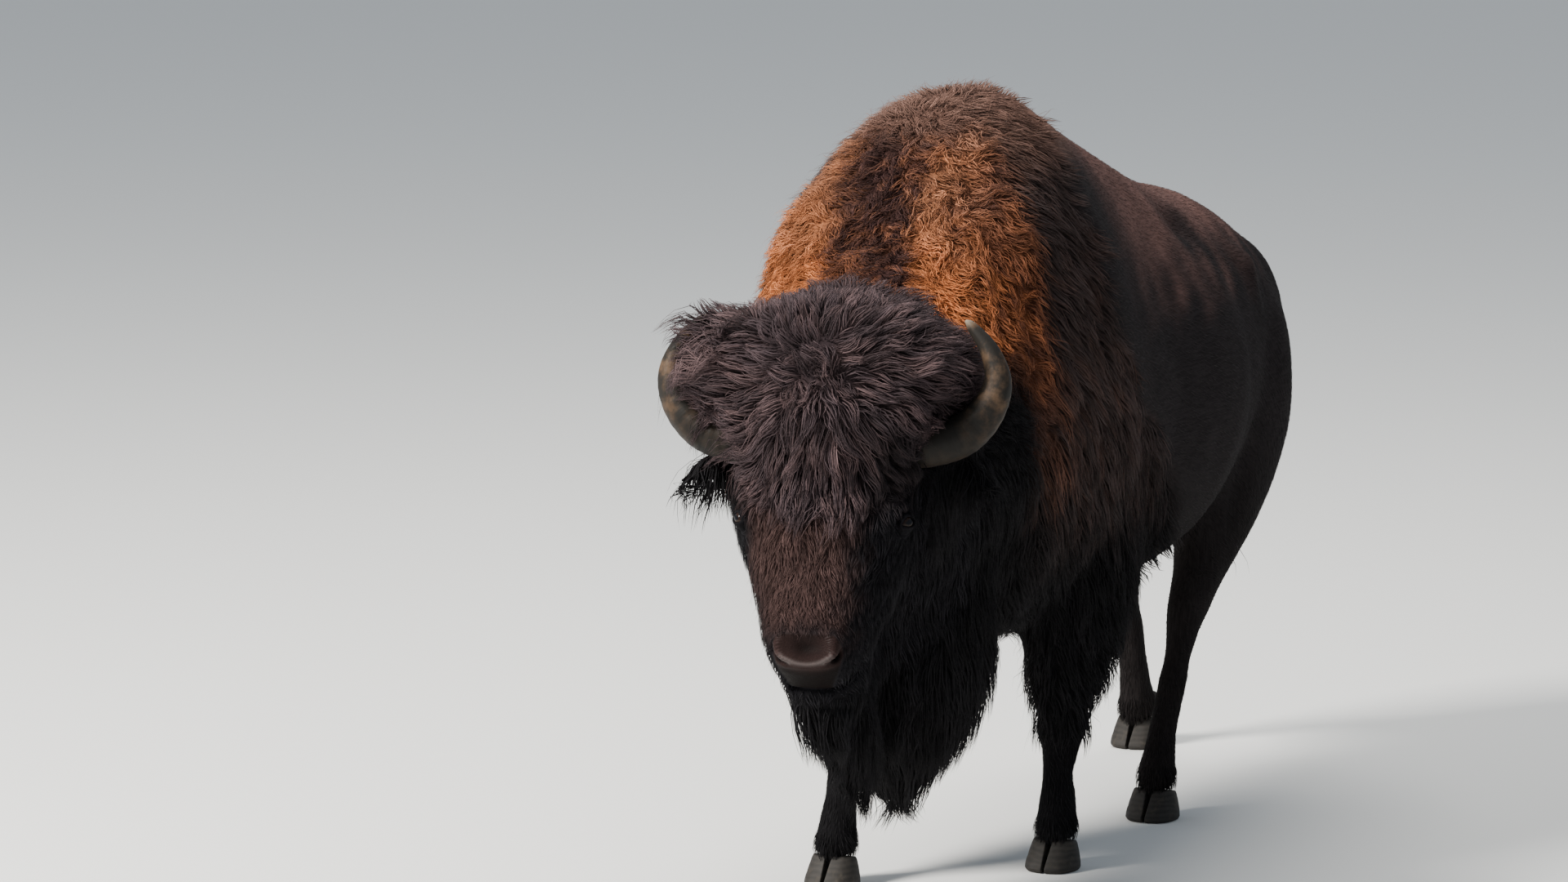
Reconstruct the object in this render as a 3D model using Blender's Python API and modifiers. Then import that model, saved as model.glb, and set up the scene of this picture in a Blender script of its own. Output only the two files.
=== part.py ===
"""A bull of the American plains bison, life-size, walking with its head lowered.

The body is modelled whole: lofts for the trunk, neck, head and legs and rounded masses for the
muscles and the long coat are merged by a voxel remesh, smoothed and thinned out. It is then parted
with thin cuts into the pieces that a person would name. Horns, ears, eyes, tail and claws are
pieces of their own, each seated in a socket that is cut for it.

While it is being modelled the bull stands with the top of its hump over X = Y = 0 and its soles
at Z = 0. It faces -Y, and its left side is +X. At the end everything is moved so that the origin
is on the floor under the middle of its bounding box.
"""

import math

import bmesh
import bpy
from mathutils import Matrix, Vector

# Driving sizes, in metres.
HUMP_HEIGHT = 1.80
GAP = 0.0006  # the width of the thin cuts between neighbouring pieces
SOCKET_GAP = 0.0005  # the play round a horn, ear, eye or tail in its socket
SOLE_TOP = 0.072  # where the pastern stands on the claws

# The head hangs from the middle of the line between the two horn bases.
HORN_LINE = Vector((0.083, -0.85, 1.105))
HEAD_TURN = math.radians(12.5)  # to the bull's left
HEAD_DROP = math.radians(52)  # of the face below the horizontal
HEAD_ROLL = math.radians(0.8)  # left side lower

EYE_RADIUS = 0.0215
EYE_SEAT = (0.172, 0.171, -0.028)  # across, along the face, out of the face
ORBIT_RADIUS = 0.034
ORBIT_SHIFT = (0.036, 0.001, 0.004)  # of the bowl's middle from the eye's
EAR_THICKNESS = 0.55  # as a share of its width
CLAW_LENGTH = 0.132
CLAW_WIDTH = 0.062
CLAW_BEHIND = 0.42  # the share of a claw that lies behind the pastern
CLEFT = 0.004

# Heights of the cuts through the legs and over the beard.
KNEE_CUT = 0.335
HOCK_CUT = 0.430
BEARD_CUT = 0.560
# The cuts across the trunk, as Y.
BREAST_CUT = -0.40
FLANK_CUT = 0.42
LOIN_CUT = 0.98
# The cuts through the head: out of the face, then twice along it.
CROWN_CUT = 0.082
MUZZLE_CUT = 0.375
NAPE_CUT = -0.105

VOXEL = 0.017
SMOOTH_STEPS = 7
BODY_TRIANGLES = 3450

# Colours, roughness and metallic value of the pieces.
COAT_DARK = ((0.030, 0.018, 0.013), 0.85, 0.0)
COAT_BLACK = ((0.018, 0.012, 0.010), 0.85, 0.0)
COAT_CAPE = ((0.230, 0.105, 0.045), 0.90, 0.0)
COAT_FLANK = ((0.040, 0.024, 0.018), 0.70, 0.0)
MUZZLE_SKIN = ((0.035, 0.024, 0.022), 0.40, 0.0)
HORN_KERATIN = ((0.120, 0.100, 0.075), 0.40, 0.0)
CLAW_KERATIN = ((0.035, 0.030, 0.027), 0.50, 0.0)
EYE_WET = ((0.020, 0.012, 0.008), 0.08, 0.0)


# ---------------------------------------------------------------- small helpers


def collection(name):
    made = bpy.data.collections.new(name)
    bpy.context.scene.collection.children.link(made)
    return made


def material(name, finish):
    colour, roughness, metallic = finish
    made = bpy.data.materials.new(name)
    made.use_nodes = True
    shader = made.node_tree.nodes["Principled BSDF"]
    shader.inputs["Base Color"].default_value = (*colour, 1.0)
    shader.inputs["Roughness"].default_value = roughness
    shader.inputs["Metallic"].default_value = metallic
    return made


def new_object(name, mesh, home):
    made = bpy.data.objects.new(name, mesh)
    home.objects.link(made)
    return made


def object_from(mesh, name, home):
    """Turns a bmesh into an object of the collection and frees it."""
    data = bpy.data.meshes.new(name)
    mesh.to_mesh(data)
    mesh.free()
    return new_object(name, data, home)


def evaluated_mesh(obj):
    """The object's mesh with its modifiers applied, as a mesh of its own."""
    graph = bpy.context.evaluated_depsgraph_get()
    return bpy.data.meshes.new_from_object(obj.evaluated_get(graph), depsgraph=graph)


def catmull_rom(keys, count):
    """Count rows on a smooth curve through the key rows, ends included."""
    rows = [tuple(2 * a - b for a, b in zip(keys[0], keys[1]))]
    rows += list(keys)
    rows.append(tuple(2 * a - b for a, b in zip(keys[-1], keys[-2])))
    made = []
    for step in range(count):
        place = step / (count - 1) * (len(keys) - 1)
        first = min(int(place), len(keys) - 2)
        t = place - first
        row = []
        for a, b, c, d in zip(*rows[first : first + 4]):
            bend = (2 * a - 5 * b + 4 * c - d) * t * t + (3 * b - a - 3 * c + d) * t**3
            row.append(0.5 * (2 * b + (c - a) * t + bend))
        made.append(tuple(row))
    return made


def add_loft(mesh, rings):
    """Adds a closed tube through rings that all have the same number of points."""
    made = [[mesh.verts.new(point) for point in ring] for ring in rings]
    for lower, upper in zip(made, made[1:]):
        for i in range(len(lower)):
            j = (i + 1) % len(lower)
            mesh.faces.new((lower[i], lower[j], upper[j], upper[i]))
    mesh.faces.new(reversed(made[0]))
    mesh.faces.new(made[-1])


def add_mass(mesh, centre, radii, turn=(0, 0, 0)):
    """Adds an ellipsoid, turned by the Euler angles in degrees."""
    made = bmesh.ops.create_uvsphere(mesh, u_segments=28, v_segments=18, radius=1.0)
    x, y, z = (Matrix.Rotation(math.radians(a), 4, axis) for a, axis in zip(turn, "XYZ"))
    place = Matrix.Translation(centre) @ z @ y @ x @ Matrix.Diagonal((*radii, 1.0))
    bmesh.ops.transform(mesh, matrix=place, verts=made["verts"])


def power(value, exponent):
    """A signed power, which squares or pinches an ellipse."""
    return math.copysign(abs(value) ** exponent, value)


# ---------------------------------------------------------------- the head's own frame


def head_frame():
    """Takes (across, along the face, out of the face) to the bull's frame."""
    turn = Matrix.Rotation(HEAD_TURN, 3, "Z")
    forward = turn @ Vector((0, -1, 0))
    left = turn @ Vector((1, 0, 0))
    up = Vector((0, 0, 1))
    along = forward * math.cos(HEAD_DROP) - up * math.sin(HEAD_DROP)
    out = forward * math.sin(HEAD_DROP) + up * math.cos(HEAD_DROP)
    roll = Matrix.Rotation(-HEAD_ROLL, 3, -along)
    left, out = roll @ left, roll @ out
    return Matrix((left, along, out)).transposed()


HEAD_AXES = head_frame()


def on_head(across, along, out):
    return HORN_LINE + HEAD_AXES @ Vector((across, along, out))


# ---------------------------------------------------------------- trunk and neck


def trunk_ring(station, points=44):
    """A section of the trunk across Y: narrow at the crest, full at the belly."""
    x, y, top, middle, bottom, half_width, pinch = station
    ring = []
    for i in range(points):
        angle = 2 * math.pi * i / points
        across, up = math.cos(angle), math.sin(angle)
        height = (top - middle) if up > 0 else (middle - bottom)
        width = half_width * (1 - pinch * max(up, 0) ** 2)
        ring.append((x + width * across, y, middle + height * up))
    return ring


def trunk(mesh):
    """From the breast over the hump and loin to the rump."""
    keys = [
        # x, y, top, widest height, bottom, half width, pinch of the crest
        (0.01, -0.55, 1.20, 0.96, 0.76, 0.14, 0.00),
        (0.01, -0.47, 1.37, 0.99, 0.66, 0.28, 0.02),
        (0.00, -0.32, 1.61, 1.08, 0.560, 0.385, 0.02),
        (0.00, -0.15, 1.760, 1.12, 0.535, 0.420, 0.06),
        (0.00, 0.02, HUMP_HEIGHT, 1.12, 0.530, 0.425, 0.12),
        (0.00, 0.20, 1.755, 1.08, 0.535, 0.405, 0.20),
        (0.00, 0.40, 1.675, 1.03, 0.540, 0.393, 0.22),
        (0.00, 0.60, 1.595, 1.00, 0.546, 0.402, 0.18),
        (0.00, 0.80, 1.516, 1.00, 0.566, 0.400, 0.12),
        (0.00, 0.98, 1.462, 1.03, 0.630, 0.364, 0.08),
        (0.00, 1.14, 1.436, 1.06, 0.710, 0.325, 0.06),
        (0.00, 1.30, 1.388, 1.08, 0.790, 0.285, 0.06),
        (0.00, 1.43, 1.315, 1.07, 0.850, 0.240, 0.04),
        (0.00, 1.52, 1.215, 1.05, 0.900, 0.180, 0.00),
        (0.00, 1.565, 1.130, 1.03, 0.950, 0.105, 0.00),
    ]
    add_loft(mesh, [trunk_ring(row) for row in catmull_rom(keys, 62)])


def neck(mesh):
    """The deep neck bends to the left, from the front of the hump to the nape."""
    keys = [
        (0.000, -0.05, 1.68, 1.10, 0.66, 0.36, 0.06),
        (0.004, -0.30, 1.58, 1.06, 0.62, 0.375, 0.04),
        (0.014, -0.46, 1.46, 1.02, 0.60, 0.350, 0.02),
        (0.030, -0.60, 1.36, 0.99, 0.60, 0.315, 0.02),
        (0.048, -0.72, 1.28, 0.97, 0.62, 0.270, 0.00),
        (0.062, -0.82, 1.17, 0.95, 0.68, 0.210, 0.00),
    ]
    add_loft(mesh, [trunk_ring(row) for row in catmull_rom(keys, 28)])


def throat_mane(mesh):
    """The long hair under neck and throat, a curtain that hangs between jaw and brisket."""
    keys = [
        # x, y, z, half width, half depth
        (0.040, -0.47, 0.95, 0.275, 0.230),
        (0.055, -0.50, 0.76, 0.275, 0.235),
        (0.070, -0.515, 0.60, 0.262, 0.225),
        (0.085, -0.53, 0.48, 0.215, 0.190),
        (0.100, -0.54, 0.38, 0.140, 0.120),
        (0.112, -0.55, 0.285, 0.045, 0.045),
    ]
    add_loft(mesh, upwards(keys, 22))


# ---------------------------------------------------------------- legs

# Height and fore-and-aft place of the joints, from the trunk down to the foot.
FORE_JOINTS = {
    "left": (
        (1.10, 0.02), (0.92, 0.12), (0.74, 0.215), (0.62, 0.245), (0.50, 0.232),
        (0.43, 0.212), (0.36, 0.190), (0.12, 0.172), (0.04, 0.160),
    ),
    "right": (
        (1.10, -0.02), (0.92, 0.01), (0.74, 0.010), (0.62, -0.020), (0.50, -0.070),
        (0.43, -0.105), (0.36, -0.135), (0.12, -0.195), (0.04, -0.210),
    ),
}
HIND_JOINTS = {
    "left": (
        (1.26, 1.24), (1.12, 1.21), (0.98, 1.155), (0.76, 1.140), (0.65, 1.10), (0.56, 1.040),
        (0.465, 0.950), (0.40, 0.930), (0.30, 0.885), (0.20, 0.835), (0.12, 0.800), (0.04, 0.785),
    ),
    "right": (
        (1.26, 1.24), (1.12, 1.23), (0.98, 1.20), (0.76, 1.22), (0.65, 1.32), (0.56, 1.420),
        (0.47, 1.500), (0.40, 1.520), (0.30, 1.545), (0.20, 1.570), (0.12, 1.590), (0.04, 1.600),
    ),
}
SIDES = {"left": 1, "right": -1}


def limb_ring(station, points=24):
    x, y, z, half_width, half_depth = station
    ring = []
    for i in range(points):
        angle = 2 * math.pi * i / points
        ring.append((x + half_width * math.cos(angle), y + half_depth * math.sin(angle), z))
    return ring


def between_joints(joints, height):
    """The fore-and-aft place of a leg's middle at a height."""
    for (upper, above), (lower, below) in zip(joints, joints[1:]):
        if height >= lower:
            share = min(1.0, max(0.0, (height - lower) / (upper - lower)))
            return below + (above - below) * share
    return joints[-1][1]


def add_leg(mesh, side, joints, keys, count):
    """A leg from its keys (height, distance from the middle plane, half width, half depth)."""
    rows = [(side * x, between_joints(joints, z), z, wide, deep) for z, x, wide, deep in keys]
    add_loft(mesh, upwards(rows, count))


def upwards(keys, count):
    """The rings of a hanging form from its lowest to its highest, so that its faces point outwards."""
    return [limb_ring(row) for row in reversed(catmull_rom(keys, count))]


def foreleg(mesh, name):
    """Shoulder to pastern. The chaps hang from the forearm to below the knee."""
    keys = [
        # height, from the middle plane, half width, half depth
        (1.10, 0.165, 0.170, 0.230),
        (0.92, 0.200, 0.170, 0.230),
        (0.76, 0.212, 0.154, 0.220),
        (0.63, 0.210, 0.136, 0.212),
        (0.52, 0.205, 0.124, 0.192),
        (0.43, 0.200, 0.112, 0.166),
        (0.37, 0.196, 0.092, 0.130),
        (0.32, 0.194, 0.060, 0.080),
        (0.27, 0.192, 0.040, 0.047),
        (0.20, 0.190, 0.037, 0.042),
        (0.125, 0.190, 0.046, 0.052),
        (0.08, 0.190, 0.045, 0.050),
        (0.04, 0.190, 0.044, 0.048),
    ]
    add_leg(mesh, SIDES[name], FORE_JOINTS[name], keys, 44)


def hind_leg(mesh, name):
    """Croup to pastern, with the point of the hock behind."""
    keys = [
        # height, from the middle plane, half width, half depth
        (1.26, 0.110, 0.115, 0.170),
        (1.12, 0.170, 0.150, 0.235),
        (0.98, 0.200, 0.150, 0.258),
        (0.87, 0.212, 0.137, 0.245),
        (0.76, 0.212, 0.114, 0.212),
        (0.65, 0.208, 0.092, 0.162),
        (0.56, 0.202, 0.070, 0.118),
        (0.475, 0.197, 0.056, 0.086),
        (0.40, 0.191, 0.043, 0.056),
        (0.30, 0.187, 0.036, 0.043),
        (0.20, 0.184, 0.036, 0.042),
        (0.12, 0.183, 0.045, 0.051),
        (0.08, 0.183, 0.044, 0.049),
        (0.04, 0.183, 0.043, 0.047),
    ]
    side, joints = SIDES[name], HIND_JOINTS[name]
    add_leg(mesh, side, joints, keys, 46)
    point = (side * 0.197, between_joints(joints, 0.47) + 0.072, 0.485)
    add_mass(mesh, point, (0.026, 0.030, 0.060), (-20, 0, 0))


# ---------------------------------------------------------------- head


def head_ring(station, points=36):
    along, half_width, top, bottom, square = station
    middle = top - 0.42 * (top - bottom)
    ring = []
    for i in range(points):
        angle = 2 * math.pi * i / points
        across, out = power(math.cos(angle), square), power(math.sin(angle), square)
        height = (top - middle) if out > 0 else (middle - bottom)
        ring.append(on_head(half_width * across, along, middle + height * out))
    return ring


def skull(mesh):
    """From the nape over forehead and nose bridge to the muzzle."""
    keys = [
        # along, half width, top, bottom, squareness
        (-0.14, 0.135, -0.020, -0.280, 1.00),
        (-0.07, 0.178, 0.045, -0.325, 0.95),
        (0.02, 0.192, 0.075, -0.345, 0.90),
        (0.10, 0.192, 0.078, -0.345, 0.88),
        (0.17, 0.188, 0.068, -0.335, 0.86),
        (0.24, 0.172, 0.052, -0.315, 0.86),
        (0.31, 0.158, 0.038, -0.292, 0.88),
        (0.38, 0.134, 0.022, -0.265, 0.90),
        (0.43, 0.112, 0.009, -0.240, 0.88),
        (0.472, 0.094, -0.004, -0.210, 0.86),
        (0.502, 0.080, -0.020, -0.180, 0.88),
        (0.520, 0.052, -0.045, -0.145, 1.00),
    ]
    add_loft(mesh, [head_ring(row) for row in catmull_rom(keys, 44)])


def head_masses(mesh):
    """The crown of wool over the poll, the brows, the nostrils, the chin and the cheeks."""
    drop = -math.degrees(HEAD_DROP)
    turn = math.degrees(HEAD_TURN)
    masses = [
        # across, along, out, and the radii in the same order
        (0.000, -0.135, 0.070, 0.315, 0.215, 0.190),
        (0.000, 0.020, 0.062, 0.245, 0.175, 0.098),
        (0.215, -0.165, 0.000, 0.125, 0.150, 0.125),
        (-0.240, -0.190, 0.010, 0.132, 0.160, 0.130),
        (-0.236, -0.080, 0.072, 0.092, 0.130, 0.060),
    ]
    for side in (1, -1):
        masses += [
            (side * 0.154, 0.162, 0.008, 0.048, 0.064, 0.050),
            (side * 0.052, 0.470, -0.045, 0.038, 0.044, 0.046),
            (side * 0.120, 0.060, -0.240, 0.085, 0.150, 0.110),
        ]
    masses.append((0.000, 0.430, -0.190, 0.070, 0.075, 0.060))
    for across, along, out, *radii in masses:
        add_mass(mesh, on_head(across, along, out), radii, (drop, 0, turn))


def beard(mesh):
    """Hangs straight down from the chin and the jaw."""
    keys = [
        # x, y, z, half width, half depth
        (0.112, -0.935, 0.680, 0.090, 0.130),
        (0.122, -0.910, 0.570, 0.096, 0.152),
        (0.130, -0.865, 0.475, 0.080, 0.130),
        (0.137, -0.832, 0.395, 0.052, 0.085),
        (0.142, -0.812, 0.330, 0.018, 0.028),
    ]
    add_loft(mesh, upwards(keys, 18))


# ---------------------------------------------------------------- the whole body


def muscles(mesh):
    """Masses that the lofts alone don't give: shoulders, hips, haunches and chest."""
    for side in (1, -1):
        add_mass(mesh, (side * 0.220, 0.00, 1.03), (0.208, 0.330, 0.380), (14, side * 8, 0))
        add_mass(mesh, (side * 0.165, -0.10, 1.42), (0.190, 0.320, 0.250), (8, side * -28, 0))
        add_mass(mesh, (side * 0.225, 1.10, 1.235), (0.080, 0.090, 0.075))
        add_mass(mesh, (side * 0.130, 1.41, 1.060), (0.130, 0.130, 0.240))
    add_mass(mesh, (0.010, -0.36, 0.90), (0.270, 0.220, 0.300))
    add_mass(mesh, (0.085, -0.765, 0.650), (0.115, 0.110, 0.100))
    add_mass(mesh, (0.052, -0.700, 1.250), (0.250, 0.200, 0.200), (-38, 0, 0))


def whole_body(home):
    """The merged, smoothed and thinned body, as one closed mesh."""
    mesh = bmesh.new()
    trunk(mesh)
    neck(mesh)
    throat_mane(mesh)
    for name in SIDES:
        foreleg(mesh, name)
        hind_leg(mesh, name)
    skull(mesh)
    head_masses(mesh)
    beard(mesh)
    muscles(mesh)
    bmesh.ops.recalc_face_normals(mesh, faces=mesh.faces)
    obj = object_from(mesh, "body_masses", home)
    remesh = obj.modifiers.new("merge", "REMESH")
    remesh.mode = "VOXEL"
    remesh.voxel_size = VOXEL
    smooth = obj.modifiers.new("soften", "SMOOTH")
    smooth.factor = 0.5
    smooth.iterations = SMOOTH_STEPS
    merged = evaluated_mesh(obj)
    obj.modifiers.clear()
    obj.data = merged
    thin = obj.modifiers.new("thin_out", "DECIMATE")
    triangles = sum(len(face.vertices) - 2 for face in merged.polygons)
    thin.ratio = BODY_TRIANGLES / triangles
    thin.use_collapse_triangulate = True
    obj.data = evaluated_mesh(obj)
    obj.modifiers.clear()
    return obj


# ---------------------------------------------------------------- horns, ears, eyes, tail


def tube_rings(centres, radii, points, flat=1.0, normal=None):
    """Rings across a path, each turned to the path's direction, without twist."""
    rings = []
    across = normal
    for i, centre in enumerate(centres):
        before, after = centres[max(i - 1, 0)], centres[min(i + 1, len(centres) - 1)]
        along = (after - before).normalized()
        if across is None:
            across = along.orthogonal()
        across = (across - along * across.dot(along)).normalized()
        other = along.cross(across)
        ring = []
        for k in range(points):
            angle = 2 * math.pi * k / points
            wide = across * math.cos(angle) * flat
            ring.append(centre + (wide + other * math.sin(angle)) * radii[i])
        rings.append(ring)
    return rings


def tube_object(name, home, centres, radii, points, swell=0.0, flat=1.0, normal=None):
    """A closed tube. Swell makes it larger all round, its ends included."""
    centres = list(centres)
    centres[0] = centres[0] - (centres[1] - centres[0]).normalized() * swell
    centres[-1] = centres[-1] + (centres[-1] - centres[-2]).normalized() * swell
    radii = [radius + swell for radius in radii]
    mesh = bmesh.new()
    add_loft(mesh, tube_rings(centres, radii, points, flat, normal))
    bmesh.ops.recalc_face_normals(mesh, faces=mesh.faces)
    return object_from(mesh, name, home)


def horn(name, side, home, swell=0.0):
    """Out from the poll, then up and in to a blunt tip."""
    keys = [
        # across, along the face, out of the face, radius
        (0.135, -0.008, -0.010, 0.050),
        (0.215, -0.012, -0.006, 0.049),
        (0.285, -0.030, 0.006, 0.045),
        (0.336, -0.076, 0.030, 0.038),
        (0.356, -0.132, 0.058, 0.030),
        (0.338, -0.188, 0.086, 0.021),
        (0.298, -0.234, 0.110, 0.012),
        (0.282, -0.247, 0.116, 0.004),
    ]
    rows = catmull_rom(keys, 13)
    centres = [on_head(side * a, b, c) for a, b, c, _ in rows]
    return tube_object(name, home, centres, [row[3] for row in rows], 10, swell)


def ear(name, side, home, swell=0.0):
    """A short leaf-shaped ear under the horn, hanging out and down."""
    keys = [
        # across, along the face, out of the face, half width
        (0.142, -0.030, -0.104, 0.024),
        (0.196, -0.024, -0.106, 0.034),
        (0.250, -0.014, -0.106, 0.044),
        (0.296, 0.006, -0.106, 0.042),
        (0.330, 0.036, -0.104, 0.028),
        (0.348, 0.062, -0.102, 0.008),
    ]
    rows = catmull_rom(keys, 9)
    centres = [on_head(side * a, b, c) for a, b, c, _ in rows]
    radii = [row[3] for row in rows]
    out = HEAD_AXES @ Vector((0, 0, 1))
    return tube_object(name, home, centres, radii, 8, swell, EAR_THICKNESS, out)


def ball(name, home, centre, radius):
    mesh = bmesh.new()
    bmesh.ops.create_icosphere(mesh, subdivisions=2, radius=radius)
    bmesh.ops.transform(mesh, matrix=Matrix.Translation(centre), verts=mesh.verts)
    return object_from(mesh, name, home)


def eye(name, side, home, swell=0.0):
    across, along, out = EYE_SEAT
    return ball(name, home, on_head(side * across, along, out), EYE_RADIUS + swell)


def orbit(name, side, home):
    """The shallow bowl that is cut round the front of the eyeball."""
    across, along, out = (seat + shift for seat, shift in zip(EYE_SEAT, ORBIT_SHIFT))
    return ball(name, home, on_head(side * across, along, out), ORBIT_RADIUS)


def tail_rows():
    keys = [
        # x, y, z, radius
        (0.000, 1.470, 1.300, 0.034),
        (0.000, 1.545, 1.270, 0.033),
        (0.004, 1.600, 1.190, 0.029),
        (0.008, 1.622, 1.080, 0.024),
        (0.012, 1.628, 0.960, 0.021),
        (0.016, 1.630, 0.860, 0.022),
        (0.020, 1.630, 0.780, 0.033),
        (0.023, 1.628, 0.690, 0.040),
        (0.026, 1.624, 0.600, 0.032),
        (0.028, 1.620, 0.520, 0.010),
    ]
    return catmull_rom(keys, 21)


TAIL_SPLIT = 11  # the row where the bare dock ends and the tuft begins


def tail_dock(name, home, swell=0.0):
    rows = tail_rows()[: TAIL_SPLIT + 1]
    centres = [Vector(row[:3]) for row in rows]
    return tube_object(name, home, centres, [row[3] for row in rows], 8, swell)


def tail_tuft(name, home):
    rows = tail_rows()[TAIL_SPLIT:]
    centres = [Vector(row[:3]) for row in rows]
    along = (centres[1] - centres[0]).normalized()
    centres[0] = centres[0] + along * GAP
    return tube_object(name, home, centres, [row[3] for row in rows], 8)


# ---------------------------------------------------------------- claws


CLAW_LEVELS = (
    # height, share of the length, share of the width
    (0.000, 0.94, 0.93),
    (0.010, 1.00, 1.00),
    (0.034, 0.93, 0.97),
    (0.058, 0.83, 0.88),
    (SOLE_TOP - GAP, 0.76, 0.80),
)


def claw(name, foot, inner, home, steps=6):
    """One of the two claws of a foot: a half-round block with a sloping toe wall and a flat sole.

    Inner is -1 for the claw next to the bull's middle plane and 1 for the other one.
    """
    x, y, side = foot
    lean = side * inner
    wall = x + lean * CLEFT / 2
    heel = y + CLAW_BEHIND * CLAW_LENGTH
    rings = []
    for z, length, width in CLAW_LEVELS:
        reach, half = CLAW_LENGTH * length, CLAW_WIDTH * width
        ring = [(wall, heel, z)]
        for i in range(1, steps):
            angle = math.pi * i / steps
            bulge = lean * half * math.sin(angle) ** 0.75
            ring.append((wall + bulge, heel - reach * (1 - math.cos(angle)) / 2, z))
        ring.append((wall, heel - reach, z))
        rings.append(ring)
    mesh = bmesh.new()
    add_loft(mesh, rings)
    bmesh.ops.recalc_face_normals(mesh, faces=mesh.faces)
    return object_from(mesh, name, home)


# X, Y and side of each foot.
FEET = {
    "fore_left": (0.190, 0.160, 1),
    "fore_right": (-0.190, -0.210, -1),
    "hind_left": (0.183, 0.785, 1),
    "hind_right": (-0.183, 1.600, -1),
}


# ---------------------------------------------------------------- parting


def block(name, home, low, high, turn=None, origin=None, swell=0.0):
    """A box cutter, from its low to its high corner in its own frame."""
    mesh = bmesh.new()
    bmesh.ops.create_cube(mesh, size=1.0)
    low = Vector(low) - Vector((swell,) * 3)
    high = Vector(high) + Vector((swell,) * 3)
    size = high - low
    place = Matrix.Translation((low + high) / 2) @ Matrix.Diagonal((*size, 1.0))
    if turn is not None:
        place = Matrix.Translation(origin) @ turn.to_4x4() @ place
    bmesh.ops.transform(mesh, matrix=place, verts=mesh.verts)
    bmesh.ops.recalc_face_normals(mesh, faces=mesh.faces)
    return object_from(mesh, name, home)


def wedge(name, home, side, front, back, top, swell=0.0):
    """A cutter round one leg: its top rises outwards, and its front may slope."""
    near, far = 0.004, 0.60  # from the middle plane
    inner_top, outer_top = top
    front_low, front_high = front
    rise = (outer_top - inner_top) / (far - near)
    lean = front_high - front_low
    near, far, back = near - swell, far + swell, back + swell
    inner_top += swell * math.hypot(1.0, rise)
    outer_top += swell * math.hypot(1.0, rise)
    front_low -= swell * math.hypot(1.0, lean)
    front_high -= swell * math.hypot(1.0, lean)
    mesh = bmesh.new()
    bmesh.ops.create_cube(mesh, size=1.0)
    for vertex in mesh.verts:
        outer, behind, upper = (value > 0 for value in vertex.co)
        height = (outer_top if outer else inner_top) if upper else -swell
        depth = back if behind else (front_high if upper else front_low)
        vertex.co = (side * (far if outer else near), depth, height)
    if side < 0:
        bmesh.ops.reverse_faces(mesh, faces=mesh.faces)
    return object_from(mesh, name, home)


def cut(obj, cutter, operation):
    """Applies one Boolean and keeps its result as the object's mesh."""
    step = obj.modifiers.new("cut", "BOOLEAN")
    step.operation = operation
    step.solver = "EXACT"
    step.object = cutter
    obj.data = evaluated_mesh(obj)
    obj.modifiers.clear()


# The front (low, high), back and top (inner, outer) of the space round each upper leg.
UPPER_LEGS = {
    "foreleg_upper_left": (1, (0.00, 0.00), 0.475, (0.50, 1.06)),
    "foreleg_upper_right": (-1, (-0.31, -0.27), 0.220, (0.50, 1.06)),
    "thigh_left": (1, (0.78, 0.98), 1.80, (0.56, 1.22)),
    "thigh_right": (-1, (0.78, 0.98), 1.80, (0.56, 1.22)),
}


def cutter_pairs(cutters):
    """Name, region and slightly larger region of each piece, in the order they are parted."""

    def boxes(name, low, high, turn=None, origin=None):
        inner = block(name + "_region", cutters, low, high, turn, origin)
        return name, inner, block(name + "_gap", cutters, low, high, turn, origin, GAP)

    far = 3.0
    for name, side in SIDES.items():
        near, wide = sorted((side * 0.03, side * 0.42))
        yield boxes(f"foreleg_lower_{name}", (near, -0.45, 0.0), (wide, 0.50, KNEE_CUT))
        yield boxes(f"hind_leg_lower_{name}", (near, 0.55, 0.0), (wide, 1.80, HOCK_CUT))
    for name, space in UPPER_LEGS.items():
        inner = wedge(name + "_region", cutters, *space)
        yield name, inner, wedge(name + "_gap", cutters, *space, GAP)
    head_at = (HEAD_AXES, HORN_LINE)
    yield boxes("beard", (-0.5, -1.6, 0.0), (0.7, -0.69, BEARD_CUT))
    yield boxes("crown", (-0.6, -0.60, CROWN_CUT), (0.6, 0.16, 0.6), *head_at)
    yield boxes("muzzle", (-0.4, MUZZLE_CUT, -0.40), (0.4, 0.90, 0.4), *head_at)
    yield boxes("head", (-0.6, NAPE_CUT, -0.37), (0.6, 0.90, 0.6), *head_at)
    yield boxes("neck", (-far, -far, 0.0), (far, BREAST_CUT, far))
    yield boxes("forequarters", (-far, -far, 0.0), (far, FLANK_CUT, far))
    yield boxes("barrel", (-far, -far, 0.0), (far, LOIN_CUT, far))


FINISHES = {
    "crown": COAT_DARK,
    "head": COAT_DARK,
    "muzzle": MUZZLE_SKIN,
    "beard": COAT_BLACK,
    "neck": COAT_CAPE,
    "forequarters": COAT_CAPE,
    "barrel": COAT_FLANK,
    "hindquarters": COAT_FLANK,
}


def finish_of(name):
    for start, finish in FINISHES.items():
        if name.startswith(start):
            return finish
    for start, finish in (("horn", HORN_KERATIN), ("claw", CLAW_KERATIN), ("eye", EYE_WET)):
        if name.startswith(start):
            return finish
    return COAT_BLACK


def part_body(body, home, cutters):
    """Takes each region's share of the body in turn, and leaves the hindquarters."""
    rest = new_object("hindquarters", body.data, home)
    made = [rest]
    for name, region, region_and_gap in cutter_pairs(cutters):
        piece = new_object(name, rest.data.copy(), home)
        cut(piece, region, "INTERSECT")
        cut(rest, region_and_gap, "DIFFERENCE")
        made.append(piece)
    return made


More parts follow.
